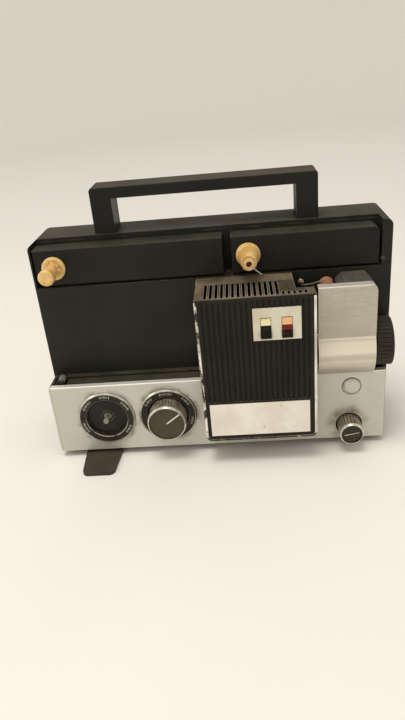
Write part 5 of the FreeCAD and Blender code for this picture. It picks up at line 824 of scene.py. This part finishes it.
def arc_tree():
    """Thin bars on an arc in the XZ plane; every few bars one is longer."""
    tree, into = new_tree("bars on an arc", (
        ("Count", COUNT), ("Radius", FLOAT), ("Start", FLOAT), ("Step", FLOAT),
        ("Length", FLOAT), ("Width", FLOAT), ("Thick", FLOAT), ("Long every", COUNT),
        ("Centre", VECTOR)))
    points = make(tree, "GeometryNodeMeshLine", {"Count": into["Count"]}).outputs[0]
    index = make(tree, "GeometryNodeInputIndex").outputs[0]
    angle = calc(tree, "ADD", into["Start"], calc(tree, "MULTIPLY", into["Step"], index))
    spot = make(tree, "ShaderNodeCombineXYZ", {
        "X": calc(tree, "MULTIPLY", calc(tree, "SINE", angle), into["Radius"]),
        "Z": calc(tree, "MULTIPLY", calc(tree, "COSINE", angle), into["Radius"])}).outputs[0]
    centred = make(tree, "ShaderNodeVectorMath", {0: spot, 1: into["Centre"]}).outputs[0]
    points = make(tree, "GeometryNodeSetPosition",
                  {"Geometry": points, "Position": centred}).outputs[0]
    size = make(tree, "ShaderNodeCombineXYZ", {"X": into["Width"], "Y": into["Thick"],
                                               "Z": into["Length"]}).outputs[0]
    bar = make(tree, "GeometryNodeMeshCube", {"Size": size}).outputs[0]
    turn = make(tree, "ShaderNodeCombineXYZ", {"Y": angle}).outputs[0]
    left_over = calc(tree, "MODULO", index, into["Long every"])
    is_long = calc(tree, "LESS_THAN", left_over, 0.5)
    longer = calc(tree, "ADD", 1.0, calc(tree, "MULTIPLY", is_long, LONGER_BY))
    stretch = make(tree, "ShaderNodeCombineXYZ", {"X": 1.0, "Y": 1.0, "Z": longer}).outputs[0]
    bars = make(tree, "GeometryNodeInstanceOnPoints", {
        "Points": points, "Instance": bar, "Rotation": turn, "Scale": stretch}).outputs[0]
    return finish_tree(tree, into, bars)


BARS = arc_tree()


# %% Coil and bent wire
TURN_STEPS, BEND_POINTS = 24, 20


def coil_tree():
    """A coil of wire whose axis points at the operator."""
    tree, into = new_tree("coil", (("Turns", FLOAT), ("Radius", FLOAT), ("Rise", FLOAT),
                                   ("Wire", FLOAT), ("Centre", VECTOR)))
    turns = make(tree, "GeometryNodeCurveSpiral", {
        "Resolution": TURN_STEPS, "Rotations": into["Turns"], "Start Radius": into["Radius"],
        "End Radius": into["Radius"], "Height": into["Rise"]}).outputs[0]
    wire = swept(tree, turns, into["Wire"])
    stood = make(tree, "GeometryNodeTransform", {
        "Geometry": wire, "Translation": into["Centre"],
        "Rotation": (math.radians(90), 0, 0)}).outputs[0]
    return finish_tree(tree, into, stood)


def wire_tree():
    """A wire with one soft bend."""
    tree, into = new_tree("bent wire", (("Start", VECTOR), ("Bend", VECTOR), ("End", VECTOR),
                                        ("Wire", FLOAT)))
    path = make(tree, "GeometryNodeCurveQuadraticBezier", {
        "Resolution": BEND_POINTS, "Start": into["Start"], "Middle": into["Bend"],
        "End": into["End"]}).outputs[0]
    return finish_tree(tree, into, swept(tree, path, into["Wire"]))


COIL = coil_tree()
WIRE = wire_tree()


# %% From a tree to a plain mesh
def grown(name, tree, **inputs):
    """Runs a Geometry Nodes tree and keeps what it makes as a plain mesh object."""
    seed = linked(name + "_seed", bpy.data.meshes.new(name + "_seed"))
    modifier = seed.modifiers.new("grow", "NODES")
    modifier.node_group = tree
    titles = {item.name: item.identifier for item in tree.interface.items_tree
              if item.in_out == "INPUT"}
    for title, value in inputs.items():
        modifier[titles[title.replace("_", " ")]] = value
    bpy.context.view_layer.update()
    ready = seed.evaluated_get(bpy.context.evaluated_depsgraph_get())
    mesh = bpy.data.meshes.new_from_object(ready)
    bpy.data.objects.remove(seed)
    mesh.name = name
    print(name, len(mesh.polygons), "faces")
    return linked(name, mesh)


def settled(name, work, materials):
    """Turns a working mesh into a linked object with these materials."""
    mesh = bpy.data.meshes.new(name)
    work.to_mesh(mesh)
    work.free()
    for material in materials:
        mesh.materials.append(material)
    print(name, len(mesh.polygons), "faces")
    return linked(name, mesh)


def as_one(name, pieces):
    """Joins plain mesh pieces of one material into one object."""
    whole = bmesh.new()
    for piece in pieces:
        whole.from_mesh(piece.data)
    result = settled(name, whole, pieces[0].data.materials)
    for piece in pieces:
        bpy.data.objects.remove(piece)
    return result


# %% Marks round both dials
# Each group is the angle of its first mark, in degrees from the top, and its number of marks.
MARK_THICK = 0.16 * MM
MARK_LONG, MARK_WIDE = 1.3 * MM, 0.42 * MM
MARK_STEP = math.radians(3.4)
MARK_RADIUS = 20.7 * MM
LONG_EVERY = 3
MARK_GROUPS = {
    "speed": [(-62, 9), (-8, 7), (44, 8), (112, 7), (236, 8)],
    "function": [(-58, 7), (-14, 9), (40, 7), (98, 6)],
}
face_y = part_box("dials")[0].y - MARK_THICK / 4
for dial, centre in (("speed", shaft_centre), ("function", knob_centre)):
    marks = [grown(f"marks_{dial}_{number}", BARS, Count=count, Radius=MARK_RADIUS,
                   Start=math.radians(start), Step=MARK_STEP, Length=MARK_LONG,
                   Width=MARK_WIDE, Thick=MARK_THICK, Long_every=LONG_EVERY,
                   Centre=(centre.x, face_y, centre.z), Finish=ink)
             for number, (start, count) in enumerate(MARK_GROUPS[dial])]
    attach(as_one(f"marks_{dial}", marks), "case")

# %% A fine line on the small knob
# The line's middle sits on the axis, so its radius is zero and only its turn counts.
STRIPE_TURN = math.radians(80.0)
STRIPE_LONG, STRIPE_WIDE = 6.6 * MM, 0.6 * MM
CAP_BACK = 0.75 * MM
line = grown("framing_line", BARS, Count=1, Radius=0.0, Start=STRIPE_TURN, Step=0.0,
             Length=STRIPE_LONG, Width=STRIPE_WIDE, Thick=MARK_THICK, Long_every=1,
             Centre=(framing_centre.x, framing_low.y + CAP_BACK, framing_centre.z), Finish=ink)
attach(line, "knob_framing")

# %% [markdown]
# ## Spring, wire stub, fold and screw
#
# Behind the gate a tan wire spring is coiled round a pin in the case wall, and its long end
# reaches towards the film guide. A bit of grey wire sticks out of the right spindle. Neither
# touches what moves past it: the spring ends about 2 mm short of the guide, and the stub is
# short enough to clear the lamp house when the spindle turns. The silver sheet is folded back
# at its left edge, and one dark screw sits beside the right arm. Turned pieces are an outline
# that is spun round an axis, which takes fewer steps than cutting them from cylinders.


# %% Turned pieces
TURNED_SIDES = 20
WELD = 0.001 * MM
INWARD, UPWARD = Vector((0, 1, 0)), Vector((0, 0, 1))


def spun(outline, axis, sides):
    """A working mesh: an outline of (radius, place along the axis), spun once round it."""
    work = bmesh.new()
    points = [work.verts.new(Vector((radius, 0, 0)) + axis * place) for radius, place in outline]
    edges = [work.edges.new(pair) for pair in zip(points, points[1:])]
    bmesh.ops.spin(work, geom=points + edges, cent=(0, 0, 0), axis=axis, angle=math.tau,
                   steps=sides, use_duplicate=False)
    bmesh.ops.remove_doubles(work, verts=work.verts, dist=WELD)
    for face in work.faces:
        face.smooth = True
    return work


def turned(name, outline, centre, material):
    """A piece turned from an outline of (radius, depth), on an axis that points inward."""
    work = spun(outline, INWARD, TURNED_SIDES)
    bmesh.ops.recalc_face_normals(work, faces=work.faces)
    bmesh.ops.translate(work, verts=work.verts, vec=centre)
    return settled(name, work, [material])


# %% Spring on its pin
SPRING_SPOT = Vector((70.8, -9.5, 141.6)) * MM
SPRING_TURNS = 3.5
SPRING_RADIUS = 1.9 * MM
SPRING_RISE = 3.4 * MM
SPRING_WIRE = 0.42 * MM
ARM_INSET = 0.5 * MM
ARM_SAG = Vector((1.5 * MM, 0, -1.6 * MM))
PIN_RADIUS = 1.25 * MM
HEAD_CLEAR = 1.2 * MM
HEAD_RADIUS, RIM_RADIUS, DOME_RADIUS = 2.0 * MM, 1.7 * MM, 0.5 * MM
HEAD_THICK, HEAD_BEVEL, HEAD_DOME = 0.8 * MM, 0.2 * MM, 0.1 * MM
guide_low, guide_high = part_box("guide_roller")
wall_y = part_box("front_case")[0].y
coil = grown("spring_coil", COIL, Turns=SPRING_TURNS, Radius=SPRING_RADIUS, Rise=SPRING_RISE,
             Wire=SPRING_WIRE, Centre=SPRING_SPOT, Finish=spring_wire)
arm_start = SPRING_SPOT + Vector((0, -SPRING_RISE, -SPRING_RADIUS))
arm_end = Vector((guide_low.x + ARM_INSET, (guide_low.y + guide_high.y) / 2,
                  guide_high.z - ARM_INSET))
arm_bend = (arm_start + arm_end) / 2 + ARM_SAG
arm = grown("spring_arm", WIRE, Start=arm_start, Bend=arm_bend, End=arm_end,
            Wire=SPRING_WIRE, Finish=spring_wire)
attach(as_one("guide_spring", [coil, arm]), "case")

pin_long = wall_y - SPRING_SPOT.y
head_y = -SPRING_RISE - HEAD_CLEAR
shank = [(0.0, pin_long), (PIN_RADIUS, pin_long), (PIN_RADIUS, head_y + HEAD_THICK)]
head = [(HEAD_RADIUS, head_y + HEAD_THICK), (HEAD_RADIUS, head_y + HEAD_BEVEL),
        (RIM_RADIUS, head_y), (DOME_RADIUS, head_y - HEAD_DOME), (0.0, head_y - HEAD_DOME)]
spring_pin = turned("spring_pin", shank + head, SPRING_SPOT, steel)
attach(spring_pin, "case")

# %% Wire stub in the right spindle
# Its three points are counted from the middle of the spindle's mouth.
STUB_START = Vector((0.4, 5.0, -0.6)) * MM
STUB_BEND = Vector((1.6, -2.6, -1.2)) * MM
STUB_END = Vector((9.2, -3.0, -7.6)) * MM
STUB_WIRE = 0.5 * MM
spindle_low, spindle_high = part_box("supply_spindle")
mouth = Vector(((spindle_low.x + spindle_high.x) / 2, spindle_low.y,
                (spindle_low.z + spindle_high.z) / 2))
stub = grown("spindle_wire", WIRE, Start=mouth + STUB_START, Bend=mouth + STUB_BEND,
             End=mouth + STUB_END, Wire=STUB_WIRE, Finish=grey_wire)
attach(stub, "supply_reel_spindle")

# %% Folded left edge of the silver sheet
# The sheet is folded back over the lower case, so its edge is silver too.
FOLD_BACK = 0.15 * MM
panel_low, panel_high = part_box("front_panel")
deck_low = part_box("lower_case")[0]
fold_size = Vector((panel_low.x - deck_low.x, deck_low.y - panel_low.y - FOLD_BACK,
                    panel_high.z - panel_low.z))
fold_middle = Vector((deck_low.x, panel_low.y + FOLD_BACK, panel_low.z)) + fold_size / 2
work = bmesh.new()
bmesh.ops.create_cube(work, matrix=Matrix.Translation(fold_middle)
                      @ Matrix.Diagonal(fold_size).to_4x4())
fold = settled("sheet_fold", work, [panel_silver])
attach(fold, "case")

# %% Screw beside the end of the right arm
# Its outline comes out of the wall along its axis: (radius, depth) in mm.
SCREW_BESIDE, SCREW_ABOVE = 2.6 * MM, 4.0 * MM
SCREW_OUTLINE = ((0.0, 0.0), (2.1, 0.0), (2.1, -0.5), (1.7, -1.0), (0.8, -1.25), (0.0, -1.3))
arm_low, arm_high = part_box("supply_arm")
screw = turned("arm_screw", [(radius * MM, depth * MM) for radius, depth in SCREW_OUTLINE],
               Vector((arm_high.x + SCREW_BESIDE, wall_y, arm_low.z + SCREW_ABOVE)), dark_screw)
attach(screw, "case")

# %% [markdown]
# ## Floor and light
#
# A plain pale floor bends up softly all round, like a very wide bowl, so that no horizon
# shows from any side. The tops of the projector are the brightest black parts in the
# photograph, so most of the light comes from above. It is soft: a large panel overhead, a
# little in front, a weaker one from the left, and a pale sky that fills the shadows.

# %% Floor
# The bowl is some metres wide, so its sizes are plain metres.
BEND_START = 2.2
BEND_RADIUS = 1.0
BEND_STEPS = 20
WALL_TOP = 1.6
FLOOR_SIDES = 96
NEAR_TONE_TO, FAR_TONE_FROM = -0.1, 0.9
corner = [math.radians(90) * step / BEND_STEPS for step in range(BEND_STEPS + 1)]
profile = [(0.0, 0.0)]
profile += [(BEND_START + BEND_RADIUS * math.sin(angle), BEND_RADIUS * (1 - math.cos(angle)))
            for angle in corner]
profile += [(BEND_START + BEND_RADIUS, WALL_TOP)]
pale_floor, tree, shader, spot = new_finish("pale floor", roughness=0.6,
                                            Specular_IOR_Level=0.2)
tabletop = blend(tree, patches(tree, spot, 3.0, 0.3, 0.7), tone("#f4f1ea"), tone("#f1ede5"))
farther = span(tree, along(tree, spot, "Y"), NEAR_TONE_TO, FAR_TONE_FROM)
feed(tree, shader["Base Color"], blend(tree, farther, tabletop, tone("#e8e4de")))
floor = settled("floor", spun(profile, UPWARD, FLOOR_SIDES), [pale_floor])


# %% Lights
def panel_light(name, spot, aim, size, power, colour):
    """A square panel that shines from a spot towards an aim."""
    lamp = bpy.data.lights.new(name, "AREA")
    lamp.size = size
    lamp.energy = power
    lamp.color = colour
    turn = (Vector(aim) - Vector(spot)).to_track_quat("-Z", "Y").to_matrix().to_4x4()
    linked(name, lamp).matrix_world = Matrix.Translation(spot) @ turn


SKY_STRENGTH = 0.8
panel_light("overhead", spot=(-0.4, -0.5, 3.0), aim=(0, 0, 0), size=1.3, power=40.5,
            colour=(1.0, 0.98, 0.95))
panel_light("left", spot=(-1.6, -1.2, 1.0), aim=(0, 0, 0.1), size=1.0, power=5.0,
            colour=(1.0, 0.98, 0.96))
world = bpy.data.worlds.new("pale room")
bpy.context.scene.world = world
world.use_nodes = True
sky = world.node_tree.nodes["Background"]
sky.inputs["Color"].default_value = tone("#e9e4dd")
sky.inputs["Strength"].default_value = SKY_STRENGTH
bpy.context.scene.view_settings.view_transform = "Standard"
bpy.context.scene.view_settings.look = "None"
print("lights:", len(bpy.data.lights), "panels and a sky")
